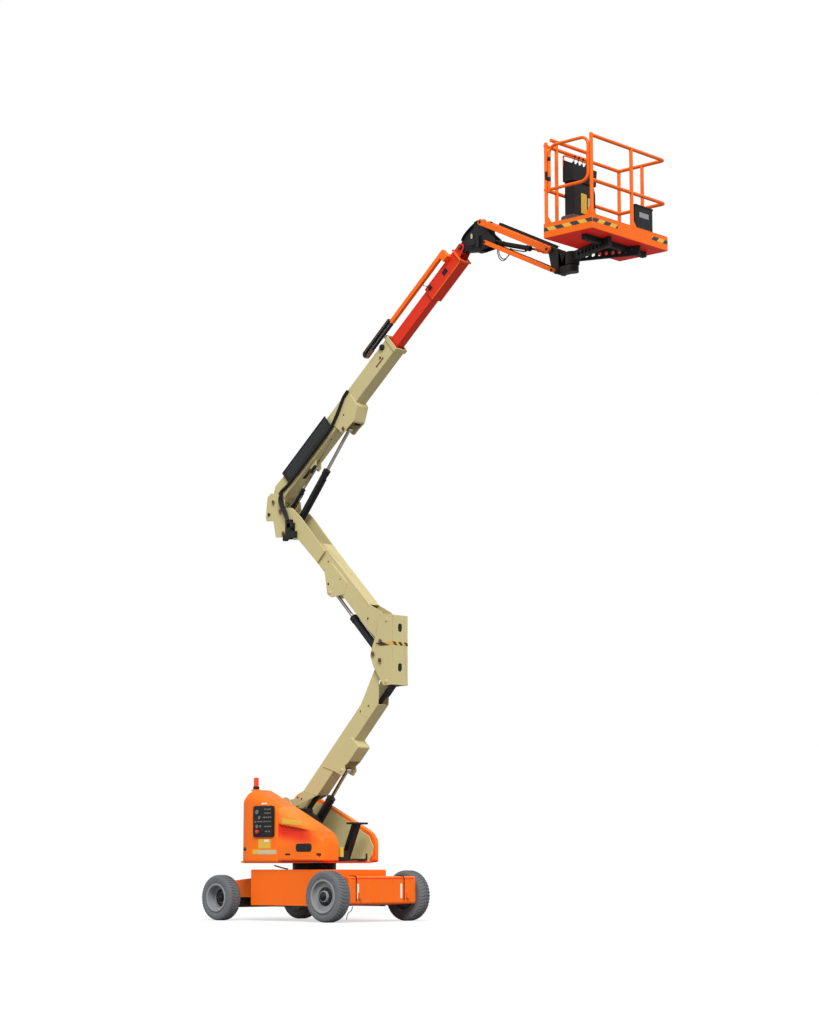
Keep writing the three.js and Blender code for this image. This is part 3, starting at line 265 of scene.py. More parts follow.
class Effects:
    """The shader groups that several finishes share."""

    def __init__(self) -> None:
        """Build each group once."""
        self.weathering = self._weathering()
        self.stripes = self._stripes()
        self.brushing = self._brushing()

    @staticmethod
    def _weathering() -> bpy.types.NodeTree:
        """Broad mottle, fine grain, and dust that settles low down on the machine."""
        group, s, given, out = new_group("weathering", {
            "Colour": ("Color", (1, 1, 1, 1)), "Dust Colour": ("Color", (0.5, 0.46, 0.4, 1)),
            "Mottle": ("Float", 0.1), "Dust": ("Float", 0.1), "Roughness": ("Float", 0.4),
            "Grain Scale": ("Float", 400.0), "Grain": ("Float", 0.1),
        }, {"Colour": "Color", "Roughness": "Float", "Height": "Float"})
        place = s.add("ShaderNodeTexCoord").outputs["Object"]
        height = s.add("ShaderNodeSeparateXYZ", Vector=place).outputs["Z"]
        broad = s.noise(1.7, 4.0, place)
        streak = s.add("ShaderNodeMapping", Scale=(9.0, 9.0, 1.1))
        s.put(place, streak.inputs["Vector"])
        streaks = s.noise(1.0, 5.0, streak.outputs[0])
        shade = s.math("MULTIPLY", s.ramp(broad, 0.35, 0.7), given["Mottle"])
        darker = s.add("ShaderNodeHueSaturation", Saturation=1.04, Value=0.72)
        s.put(given["Colour"], darker.inputs["Color"])
        body = s.mix(shade, given["Colour"], darker.outputs[0])
        low_down = s.math("SUBTRACT", 1.0, s.ramp(height, -0.2, 0.9))
        cover = s.math("MULTIPLY", s.math("ADD", s.math("MULTIPLY", low_down, 0.8), 0.2),
                       s.ramp(streaks, 0.42, 0.72))
        dust = s.math("MULTIPLY", cover, given["Dust"], clamp=True)
        s.put(s.mix(dust, body, given["Dust Colour"]), out.inputs["Colour"])
        rough = s.math("ADD", given["Roughness"], s.math("MULTIPLY", s.ramp(streaks, 0.3, 0.8), 0.12))
        s.put(s.math("ADD", rough, s.math("MULTIPLY", dust, 0.4), clamp=True), out.inputs["Roughness"])
        grain = s.noise(given["Grain Scale"], 2.0, place)
        s.put(s.math("MULTIPLY", grain, given["Grain"]), out.inputs["Height"])
        return group

    @staticmethod
    def _stripes() -> bpy.types.NodeTree:
        """Slanting stripes across a strip of tape."""
        group, s, given, out = new_group("stripes", {
            "Direction": ("Vector", (1, 0, 1)), "Pitch": ("Float", 0.12),
            "Light": ("Color", (1, 1, 1, 1)), "Dark": ("Color", (0, 0, 0, 1)),
        }, {"Colour": "Color", "Mask": "Float"})
        place = s.add("ShaderNodeTexCoord").outputs["Object"]
        dot = s.tree.nodes.new("ShaderNodeVectorMath")
        dot.operation = "DOT_PRODUCT"
        s.put(place, dot.inputs[0])
        s.put(given["Direction"], dot.inputs[1])
        turns = s.math("DIVIDE", dot.outputs["Value"], given["Pitch"])
        mask = s.math("GREATER_THAN", s.math("FRACT", turns), 0.5)
        s.put(s.mix(mask, given["Light"], given["Dark"]), out.inputs["Colour"])
        s.put(mask, out.inputs["Mask"])
        return group

    @staticmethod
    def _brushing() -> bpy.types.NodeTree:
        """Fine scratches and rubbed patches on bare metal."""
        group, s, given, out = new_group("brushing", {
            "Colour": ("Color", (1, 1, 1, 1)), "Roughness": ("Float", 0.25), "Scratch": ("Float", 0.15),
        }, {"Colour": "Color", "Roughness": "Float", "Height": "Float"})
        place = s.add("ShaderNodeTexCoord").outputs["Object"]
        scratch = s.add("ShaderNodeMapping", Scale=(60.0, 600.0, 60.0))
        s.put(place, scratch.inputs["Vector"])
        lines = s.noise(1.0, 3.0, scratch.outputs[0])
        patches = s.noise(14.0, 3.0, place)
        s.put(s.math("ADD", given["Roughness"], s.math("MULTIPLY", patches, given["Scratch"])),
              out.inputs["Roughness"])
        s.put(s.math("MULTIPLY", lines, 0.2), out.inputs["Height"])
        rubbed = s.add("ShaderNodeHueSaturation", Saturation=1.05, Value=0.8)
        s.put(given["Colour"], rubbed.inputs["Color"])
        s.put(s.mix(s.ramp(patches, 0.4, 0.7), given["Colour"], rubbed.outputs[0]), out.inputs["Colour"])
        return group


# ---------------------------------------------------------------- finishes
@dataclass(frozen=True)
class Finish:
    """A painted, moulded or rubber surface."""

    name: str
    slot: str
    colour: str
    roughness: float = 0.38
    metallic: float = 0.0
    specular: float = 0.5
    mottle: float = 0.16
    dust: float = 0.12
    grain_scale: float = 320.0
    grain: float = 0.05
    bump: float = 0.0006
    dust_colour: str = "A69A86"

    def material(self, effects: Effects) -> bpy.types.Material:
        """The finish as a material, built once."""
        found = bpy.data.materials.get(self.name)
        if found:
            return found
        material = bpy.data.materials.new(self.name)
        material.use_nodes = True
        shader = Shader(material.node_tree)
        surface = material.node_tree.nodes["Principled BSDF"]
        surface.inputs["Metallic"].default_value = self.metallic
        surface.inputs["Specular IOR Level"].default_value = self.specular
        self._dress(shader, surface, effects)
        return material

    def base_colour(self, shader: Shader) -> object:
        """The colour under the weathering: a plain one here."""
        return linear(self.colour)

    def _dress(self, shader: Shader, surface: bpy.types.Node, effects: Effects) -> None:
        """Join the weathering group to the surface."""
        wear = shader.add("ShaderNodeGroup")
        wear.node_tree = effects.weathering
        values = {
            "Colour": self.base_colour(shader), "Dust Colour": linear(self.dust_colour),
            "Mottle": self.mottle, "Dust": self.dust, "Roughness": self.roughness,
            "Grain Scale": self.grain_scale, "Grain": self.grain,
        }
        for socket, value in values.items():
            shader.put(value, wear.inputs[socket])
        shader.put(wear.outputs["Colour"], surface.inputs["Base Color"])
        shader.put(wear.outputs["Roughness"], surface.inputs["Roughness"])
        bump = shader.add("ShaderNodeBump", Distance=self.bump, Height=wear.outputs["Height"])
        shader.put(bump.outputs[0], surface.inputs["Normal"])


@dataclass(frozen=True)
class Metal(Finish):
    """Bare polished or machined metal."""

    scratch: float = 0.15

    def _dress(self, shader: Shader, surface: bpy.types.Node, effects: Effects) -> None:
        """Join the brushing group to the surface."""
        brushed = shader.add("ShaderNodeGroup")
        brushed.node_tree = effects.brushing
        shader.put(linear(self.colour), brushed.inputs["Colour"])
        shader.put(brushed.outputs["Colour"], surface.inputs["Base Color"])
        shader.put(self.roughness, brushed.inputs["Roughness"])
        shader.put(self.scratch, brushed.inputs["Scratch"])
        shader.put(brushed.outputs["Roughness"], surface.inputs["Roughness"])
        bump = shader.add("ShaderNodeBump", Distance=0.0002, Height=brushed.outputs["Height"])
        shader.put(bump.outputs[0], surface.inputs["Normal"])


@dataclass(frozen=True)
class Tape(Finish):
    """Hazard tape with slanting stripes."""

    dark: str = "17181A"
    direction: tuple[float, float, float] = (1.0, 0.0, 1.0)
    pitch: float = 0.16

    def base_colour(self, shader: Shader) -> object:
        """The striped colour."""
        stripes = shader.add("ShaderNodeGroup")
        stripes.node_tree = bpy.data.node_groups["stripes"]
        for socket, value in {"Direction": self.direction, "Pitch": self.pitch,
                              "Light": linear(self.colour), "Dark": linear(self.dark)}.items():
            shader.put(value, stripes.inputs[socket])
        return stripes.outputs["Colour"]


@dataclass(frozen=True)
class HoodPaint(Finish):
    """The hood's paint, with painted shade and light: red painted shade in a soft band under the ledge, a
    painted highlight on the top-lit slope above it, and red along the lower edge.
    """

    # the red of the painted shade in the scoop, also used along the hem
    deep: str = "E01E18"
    # the paler orange of the painted highlight on the top-lit slope
    pale: str = "FF8833"

    def base_colour(self, shader: Shader) -> object:
        """Orange with a painted highlight on the top-lit slope, red painted shade in the scoop, and red at
        the hem.
        """
        s = shader
        place = s.add("ShaderNodeSeparateXYZ", Vector=s.add("ShaderNodeTexCoord").outputs["Object"])
        x, z = place.outputs["X"], place.outputs["Z"]
        above = s.math("SUBTRACT", z, s.math("MULTIPLY_ADD", x, -0.15, 1.062))
        # the band under the ledge where the scoop's red painted shade goes
        band = s.math("MULTIPLY", s.ramp(above, -0.25, -0.10),
                      s.math("SUBTRACT", 1.0, s.ramp(above, -0.006, 0.008)))
        fade = s.math("MULTIPLY", s.ramp(x, -0.012, 0.0), s.math("SUBTRACT", 1.0, s.ramp(x, 0.40, 0.80)))
        scoop = s.math("MULTIPLY", band, fade)
        hem = s.math("MULTIPLY", s.math("SUBTRACT", 1.0, s.ramp(z, 0.575, 0.61)), s.ramp(x, -0.05, 0.1))
        # painted highlight: paler orange above the ledge, where the slope is top-lit
        painted_light_mix = s.mix(s.math("MULTIPLY", s.ramp(above, -0.01, 0.1), s.ramp(x, -0.012, 0.0)),
                     linear(self.colour), linear(self.pale))
        return s.mix(s.math("MAXIMUM", s.math("MULTIPLY", scoop, 0.9), hem), painted_light_mix, linear(self.deep))


ORANGE = Finish("orange_enamel", "orange_paint", "FC6E12", specular=0.18, dust=0.04)
HOOD_ORANGE = HoodPaint("hood_enamel", "orange_paint", "FE7417", specular=0.18, roughness=0.42, dust=0.03)
RED = Finish("red_enamel", "red_paint", "E0331B", specular=0.18, dust=0.04)
DEEP_RED = Finish("floor_red", "orange_paint", "FA2C22", roughness=0.5, specular=0.1)
CREAM = Finish("cream_enamel", "cream_paint", "C9BC89", roughness=0.5, specular=0.22, mottle=0.12,
               dust=0.06)
BLACK = Finish("black_enamel", "black_paint", "101112", roughness=0.5, specular=0.3, dust=0.06,
               dust_colour="6E6860")
DARK_MOULDING = Finish("dark_moulding", "box_plastic", "17181A", roughness=0.6, specular=0.3, grain=0.4,
                       dust=0.08,
                       dust_colour="77716A")
DUSTY_MOULDING = Finish("dusty_moulding", "box_plastic", "4A443C", roughness=0.65, grain=0.4, dust=0.3)
RIM_GREY = Finish("rim_enamel", "steel_paint", "8E9194", roughness=0.5, dust=0.2, dust_colour="8B857A")
TYRE = Finish("grey_tyre", "tyre_rubber", "676B6F", roughness=0.86, mottle=0.3, dust=0.2, grain=0.6,
              bump=0.001, dust_colour="8C8578")
HOSE = Finish("hose_rubber", "box_plastic", "0D0D0E", roughness=0.5, specular=0.3, grain=0.5, dust=0.03)
LENS = Finish("lens_orange", "lens_plastic", "F0501C", roughness=0.18, mottle=0.05, dust=0.05)
YELLOW = Finish("yellow_plate", "orange_paint", "E0B63C", roughness=0.5)
BEIGE = Finish("beige_plate", "cream_paint", "C9BE96", roughness=0.5)
WHITE = Finish("white_plate", "cream_paint", "E9E6DF", roughness=0.5)
CHROME = Metal("rod_chrome", "rod_chrome", "75594C", roughness=0.24, metallic=1.0)
LOUVRE = Finish("louvre_grey", "black_paint", "3C3D3F", roughness=0.55, specular=0.3)
ZINC = Metal("zinc_steel", "rod_chrome", "8F8A84", roughness=0.32, metallic=1.0)
COPPER = Metal("copper_band", "rod_chrome", "A06B4E", roughness=0.35, metallic=1.0)
STOP_RED = Finish("stop_red", "red_paint", "D6281E", roughness=0.3)
WHITE_RING = Finish("gauge_grey", "steel_paint", "6A6D70", roughness=0.4)
GREY_PLATE = Finish("grey_plate", "steel_paint", "8C8F92", roughness=0.5)
BROWN_STEEL = Metal("weathered_pin", "rod_chrome", "6E4A3A", roughness=0.42, metallic=0.6)
KNUCKLE_TAPE = Tape("hazard_band", "orange_paint", "D9A93A", direction=(0.35, 1.0, 0.9), pitch=0.11)
SIDE_TAPE = Tape("hazard_side", "orange_paint", "E3B43A", direction=(1.0, 0.0, 1.0), pitch=0.24)
END_TAPE = Tape("hazard_end", "orange_paint", "E3B43A", direction=(0.0, 1.0, -1.0), pitch=0.24)


# ---------------------------------------------------------------- meshes
class Solid:
    """A mesh under construction in the row frame."""

    def __init__(self) -> None:
        """Start with nothing."""
        self.bm = bmesh.new()

    def loft(self, sections: Sequence[Sequence[Vector]], closed: bool = False) -> Solid:
        """A skin through rings of points.

        Args:
            sections: the rings, with as many points in each.
            closed: whether the last ring joins the first; if not, both ends are capped.

        Returns:
            The solid itself.
        """
        rings = [[self.bm.verts.new(point) for point in points] for points in sections]
        for first, second in zip(rings, rings[1:] + rings[:1] if closed else rings[1:]):
            for i in range(len(first)):
                j = (i + 1) % len(first)
                self.bm.faces.new((first[i], first[j], second[j], second[i]))
        if not closed:
            self.bm.faces.new(rings[0])
            self.bm.faces.new(rings[-1])
        return self

    def prism(self, plane: Plane, outline: Sequence[Point2], y0: float, y1: float) -> Solid:
        """A plate with its outline in the plane's u and v, from y0 to y1."""
        return self.loft([[plane.at(u, y, v) for u, v in outline] for y in (y0, y1)])

    def box(self, plane: Plane, us: Point2, ys: Point2, vs: Point2) -> Solid:
        """A block between two values of u, of y and of v."""
        (u0, u1), (v0, v1) = us, vs
        return self.prism(plane, [(u0, v0), (u1, v0), (u1, v1), (u0, v1)], *ys)

    def lathe(self, start: Vector, axis: Vector, profile: Sequence[Point2], sides: int = 24) -> Solid:
        """A solid of revolution.

        Args:
            start: the point on the axis that distances count from.
            axis: the axis's direction.
            profile: pairs of distance along the axis and radius; its ends are closed.
            sides: how many sides the circle has.
        """
        axis = axis.normalized()
        side = axis.orthogonal().normalized()
        other = axis.cross(side)
        turns = [2 * math.pi * i / sides for i in range(sides)]
        return self.loft([[start + axis * d + side * (r * math.cos(t)) + other * (r * math.sin(t))
                           for t in turns] for d, r in profile])

    def rod(self, start: Vector, end: Vector, radius: float, sides: int = 20) -> Solid:
        """A round bar between two points, with slightly rounded ends."""
        length = (end - start).length
        ease = min(radius * 0.25, 0.003)
        return self.lathe(start, end - start, [
            (0, radius - ease), (ease, radius), (length - ease, radius), (length, radius - ease),
        ], sides)

    def tube(self, path: Sequence[Vector], radius: float, sides: int = 14) -> Solid:
        """A round tube or hose that follows a path."""
        sections = []
        normal = None
        for i, point in enumerate(path):
            ahead = (path[min(i + 1, len(path) - 1)] - path[max(i - 1, 0)]).normalized()
            if normal is None:
                normal = ahead.orthogonal().normalized()
            normal = (normal - ahead * normal.dot(ahead)).normalized()
            other = ahead.cross(normal)
            sections.append([point + normal * (radius * math.cos(2 * math.pi * k / sides))
                             + other * (radius * math.sin(2 * math.pi * k / sides)) for k in range(sides)])
        return self.loft(sections)

    def hose(self, points: Sequence[Vector | tuple[float, float, float]], radius: float,
             sides: int = 14) -> Solid:
        """A tube along a smooth curve through the points."""
        return self.tube(smooth_path(points), radius, sides)

    def bolt(self, point: Vector, out: Vector, size: float) -> Solid:
        """A hexagon head on its washer, standing out of a face."""
        self.lathe(point, out, [(0, size * 1.1), (size * 0.22, size * 1.05)], 16)
        return self.lathe(point + out.normalized() * size * 0.21, out,
                          [(0, size * 0.8), (size * 0.6, size * 0.8), (size * 0.7, size * 0.66)], 6)

    def mesh(self, name: str) -> bpy.types.Mesh:
        """Finish the mesh with its faces pointing outwards."""
        bmesh.ops.recalc_face_normals(self.bm, faces=self.bm.faces)
        mesh = bpy.data.meshes.new(name)
        self.bm.to_mesh(mesh)
        self.bm.free()
        return mesh


def fillet(points: Sequence[tuple], steps: int = 5) -> list[Point2]:
    """An outline with its corners rounded.

    Args:
        points: u and v of each corner, and its radius if it is round.
        steps: how many segments a round corner has.
    """
    result = []
    count = len(points)
    for i, point in enumerate(points):
        corner = Vector(point[:2])
        if len(point) < 3:
            result.append(tuple(corner))
            continue
        before = Vector(points[i - 1][:2]) - corner
        after = Vector(points[(i + 1) % count][:2]) - corner
        half = before.angle(after) / 2
        reach = min(point[2] / math.tan(half), 0.48 * before.length, 0.48 * after.length)
        start, end = corner + before.normalized() * reach, corner + after.normalized() * reach
        for k in range(steps + 1):
            t = k / steps
            result.append(tuple(start * (1 - t) ** 2 + corner * (2 * t * (1 - t)) + end * t ** 2))
    return result


def mirrored(sign: int, near: float, far: float) -> Point2:
    """Two values of y on the side that the sign gives, the lower one first."""
    return tuple(sorted((sign * near, sign * far)))


def smooth_path(points: Sequence[Vector | tuple[float, float, float]], steps: int = 6) -> list[Vector]:
    """A smooth curve through the given points."""
    points = [Vector(point) for point in points]
    result = []
    last = len(points) - 1
    for i in range(last):
        a, b = points[max(i - 1, 0)], points[i]
        c, d = points[i + 1], points[min(i + 2, last)]
        for k in range(steps):
            t = k / steps
            result.append(b * (2 * t ** 3 - 3 * t ** 2 + 1) + c * (3 * t ** 2 - 2 * t ** 3)
                          + (c - a) * 0.5 * (t ** 3 - 2 * t ** 2 + t) + (d - b) * 0.5 * (t ** 3 - t ** 2))
    result.append(points[-1].copy())
    return result


class Workshop:
    """Turns meshes into finished pieces that ride on their bodies."""

    SMOOTH_BELOW = math.radians(38)
    BEVEL_ABOVE = math.radians(42)
    FLAT_BELOW = math.radians(0.6)
    WELD = 2e-5

    def __init__(self, machine: Machine, effects: Effects) -> None:
        """Keep the frame and the shared shader groups."""
        self.machine = machine
        self.effects = effects
        self.count = 0

    def piece(self, name: str, shape: Solid | bpy.types.Mesh, finish: Finish, body: str,
              bevel: float = 0.0, replaces: Sequence[str] = ()) -> bpy.types.Object:
        """Make a piece.

        Args:
            name: the piece's name.
            shape: its solid or mesh, in the row frame.
            finish: its surface.
            body: the body that carries it.
            bevel: the width of its edges' bevel, or 0 for none.
            replaces: the nodes that it stands for.

        Returns:
            The new object.
        """
        mesh = shape.mesh("part") if isinstance(shape, Solid) else shape
        obj = bpy.data.objects.new(name, mesh)
        bpy.context.scene.collection.objects.link(obj)
        mesh.shade_smooth()
        if bevel:
            self.bevel(obj, bevel)
            mesh = obj.data
        else:
            mesh.set_sharp_from_angle(angle=self.SMOOTH_BELOW)
        mesh.name = name
        mesh.materials.clear()
        mesh.materials.append(finish.material(self.effects))
        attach(obj, body)
        if replaces:
            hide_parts(*replaces)
        self.count += 1
        log.info("%s on %s: %d faces", name, body, len(mesh.polygons))
        return obj

    @staticmethod
    def bevel(obj: bpy.types.Object, width: float) -> None:
        """Round a mesh's edges and keep the result as plain mesh."""
        modifier = obj.modifiers.new("edges", "BEVEL")
        modifier.width = width
        modifier.segments = 2
        modifier.limit_method = "ANGLE"
        modifier.angle_limit = Workshop.BEVEL_ABOVE
        modifier.use_clamp_overlap = False
        normals = obj.modifiers.new("normals", "WEIGHTED_NORMAL")
        normals.keep_sharp = True
        Workshop.settle(obj)

    @staticmethod
    def settle(obj: bpy.types.Object) -> None:
        """Replace a mesh with what its modifiers make of it, and remove them."""
        bpy.context.view_layer.update()
        evaluated = obj.evaluated_get(bpy.context.evaluated_depsgraph_get())
        mesh = bpy.data.meshes.new_from_object(evaluated)
        obj.modifiers.clear()
        obj.data = mesh

    def dressed(self, node: str, finish: Finish, bevel: float = BEVEL) -> bpy.types.Object:
        """A node with softened edges, standing for the node itself."""
        mesh = self.machine.mesh_copy(node)
        bm = bmesh.new()
        bm.from_mesh(mesh)
        bmesh.ops.remove_doubles(bm, verts=bm.verts, dist=self.WELD)
        bmesh.ops.dissolve_limit(bm, angle_limit=self.FLAT_BELOW, verts=bm.verts, edges=bm.edges)
        bm.to_mesh(mesh)
        bm.free()
        body = next(b for b, names in self.machine.data["record"]["behaviour"]["bodies"].items()
                    if node in names)
        return self.piece(f"{node}_shell", mesh, finish, body, bevel, [node])


# ---------------------------------------------------------------- camera and studio
@dataclass
class Studio:
    """The camera, the lamps, the floor and the backdrop."""

    azimuth: float = math.radians(42.6)
    distance: float = 32.17
    sideways: float = 1.269
    eye_height: float = 0.503
    pitch: float = math.radians(8.463)
    lens: float = 83.89
    floor: float = -0.2

    def build(self) -> None:
        """Set up everything that isn't the machine."""
        self._camera()
        self._world()
        self._lamps()
        self._ground()
        bpy.context.scene.view_settings.view_transform = "Standard"

    def _camera(self) -> None:
        """A long lens near the ground, tilted up a little."""
        right = Vector((math.cos(self.azimuth), math.sin(self.azimuth), 0))
        ahead = Vector((-math.sin(self.azimuth), math.cos(self.azimuth), 0))
        data = bpy.data.cameras.new("camera")
        data.lens = self.lens
        data.sensor_width = 36
        data.clip_end = 400
        camera = bpy.data.objects.new("camera", data)
        camera.location = -ahead * self.distance + right * self.sideways + UP * self.eye_height
        tilted = ahead * math.cos(self.pitch) + UP * math.sin(self.pitch)
        camera.rotation_euler = tilted.to_track_quat("-Z", "Y").to_euler()
        bpy.context.scene.collection.objects.link(camera)
        bpy.context.scene.camera = camera

    def _world(self) -> None:
        """Even light, with plain white behind the machine and in its reflections."""
        world = bpy.data.worlds.new("studio")
        world.use_nodes = True
        bpy.context.scene.world = world
        s = Shader(world.node_tree)
        background = world.node_tree.nodes["Background"]
        path = s.add("ShaderNodeLightPath")
        seen = s.math("MAXIMUM", path.outputs["Is Camera Ray"],
                      s.math("MAXIMUM", path.outputs["Is Glossy Ray"], path.outputs["Is Transmission Ray"]))
        background.inputs["Color"].default_value = (1, 1, 1, 1)
        s.put(s.math("MULTIPLY_ADD", seen, 0.47, 0.53), background.inputs["Strength"])

    def _lamps(self) -> None:
        """A broad key from above the camera's left, and a weak fill from its right."""
        for name, direction, strength, angle in (
            ("key", Vector((-0.62, 0.52, -0.75)), 2.9, 25.0),
            ("fill", Vector((0.3, 0.9, -0.2)), 0.25, 60.0),
        ):
            data = bpy.data.lights.new(name, "SUN")
            data.energy = strength
            data.angle = math.radians(angle)
            lamp = bpy.data.objects.new(name, data)
            lamp.rotation_euler = direction.to_track_quat("-Z", "Y").to_euler()
            bpy.context.scene.collection.objects.link(lamp)

    def _ground(self) -> None:
        """A pale floor that runs out to the horizon."""
        bm = bmesh.new()
        bmesh.ops.create_grid(bm, x_segments=1, y_segments=1, size=150)
        bmesh.ops.translate(bm, verts=bm.verts, vec=(0, 0, self.floor))
        mesh = bpy.data.meshes.new("studio_floor")
        bm.to_mesh(mesh)
        bm.free()
        floor = bpy.data.objects.new("studio_floor", mesh)
        bpy.context.scene.collection.objects.link(floor)
        material = bpy.data.materials.new("studio_floor")
        material.use_nodes = True
        s = Shader(material.node_tree)
        surface = material.node_tree.nodes["Principled BSDF"]
        surface.inputs["Base Color"].default_value = (0.36, 0.36, 0.36, 1)
        surface.inputs["Roughness"].default_value = 0.9
        surface.inputs["Specular IOR Level"].default_value = 0.0
        surface.inputs["Emission Color"].default_value = (1, 1, 1, 1)
        s.put(s.math("MULTIPLY", s.add("ShaderNodeLightPath").outputs["Is Camera Ray"], 0.62),
              surface.inputs["Emission Strength"])
        mesh.materials.append(material)
        floor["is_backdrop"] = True


# ---------------------------------------------------------------- repeated parts
class Repeat(Enum):
    """How a part is repeated."""

    RING = "ring"
    ROW = "row"


class Repeater:
    """Geometry Nodes trees that repeat a small part round an axis or along a line."""

    def __init__(self, effects: Effects) -> None:
        """Build a tree of each kind."""
        self.effects = effects
        self.trees = {kind: self._tree(kind) for kind in Repeat}

    @staticmethod
    def _tree(kind: Repeat) -> bpy.types.NodeTree:
        """Build the tree of one kind.

        Args:
            kind: RING turns the part about Y, and ROW shifts it by a step.

        Returns:
            The tree, with the inputs Count, Step and Finish.
        """
        tree = bpy.data.node_groups.new(f"repeat_{kind.value}", "GeometryNodeTree")
        face = tree.interface
        face.new_socket("Geometry", in_out="INPUT", socket_type="NodeSocketGeometry")
        face.new_socket("Count", in_out="INPUT", socket_type="NodeSocketInt")
        face.new_socket("Step", in_out="INPUT", socket_type="NodeSocketVector")
        face.new_socket("Finish", in_out="INPUT", socket_type="NodeSocketMaterial")
        face.new_socket("Geometry", in_out="OUTPUT", socket_type="NodeSocketGeometry")
        link = tree.links.new
        given = tree.nodes.new("NodeGroupInput").outputs
        points = tree.nodes.new("GeometryNodePoints")
        link(given["Count"], points.inputs["Count"])
        scaled = tree.nodes.new("ShaderNodeVectorMath")
        scaled.operation = "SCALE"
        link(given["Step"], scaled.inputs[0])
        link(tree.nodes.new("GeometryNodeInputIndex").outputs[0], scaled.inputs["Scale"])
        copies = tree.nodes.new("GeometryNodeInstanceOnPoints")
        link(points.outputs[0], copies.inputs["Points"])
        link(given["Geometry"], copies.inputs["Instance"])
        if kind is Repeat.RING:
            link(scaled.outputs[0], copies.inputs["Rotation"])
        else:
            link(scaled.outputs[0], points.inputs["Position"])
        real = tree.nodes.new("GeometryNodeRealizeInstances")
        link(copies.outputs[0], real.inputs[0])
        finish = tree.nodes.new("GeometryNodeSetMaterial")
        link(real.outputs[0], finish.inputs["Geometry"])
        link(given["Finish"], finish.inputs["Material"])
        link(finish.outputs[0], tree.nodes.new("NodeGroupOutput").inputs[0])
        return tree

    def run(self, kind: Repeat, part: bpy.types.Mesh, count: int, step: Vector,
            finish: Finish) -> bpy.types.Mesh:
        """Repeat a part and return the result as a mesh.

        Args:
            kind: whether the part goes round a ring or along a row.
            part: the part's mesh, placed for its first copy.
            count: how many copies there are.
            step: the turn in radians, or the shift, from one copy to the next.
            finish: the surface that the copies take.
        """
        obj = bpy.data.objects.new("repeat", part)
        bpy.context.scene.collection.objects.link(obj)
        modifier = obj.modifiers.new("repeat", "NODES")
        modifier.node_group = self.trees[kind]
        sockets = {item.name: item.identifier for item in modifier.node_group.interface.items_tree
                   if item.in_out == "INPUT"}
        modifier[sockets["Count"]] = count
        modifier[sockets["Step"]] = tuple(step)
        modifier[sockets["Finish"]] = finish.material(self.effects)
        Workshop.settle(obj)
        mesh = obj.data
        bpy.data.objects.remove(obj)
        return mesh

    def ring(self, part: Solid, count: int, finish: Finish) -> bpy.types.Mesh:
        """Copies all the way round the Y axis."""
        return self.run(Repeat.RING, part.mesh("part"), count, Vector((0, 2 * math.pi / count, 0)), finish)

    def row(self, part: Solid, count: int, step: Vector, finish: Finish) -> bpy.types.Mesh:
        """Copies along a line."""
        return self.run(Repeat.ROW, part.mesh("part"), count, step, finish)


def hoops(profile: Sequence[Point2], sides: int) -> list[list[Vector]]:
    """Circles about the Y axis, one for each pair of y and radius."""
    turns = [2 * math.pi * i / sides for i in range(sides)]
    return [[Vector((radius * math.cos(t), y,
                     radius * math.sin(t))) for t in turns] for y, radius in profile]


def moved(mesh: bpy.types.Mesh, place: Vector, flip: bool = False) -> bpy.types.Mesh:
    """Shift a mesh, after turning it half round Z where asked."""
    mesh.transform(Matrix.Translation(place) @ (Matrix.Rotation(math.pi, 4, "Z") if flip else Matrix()))
    return mesh


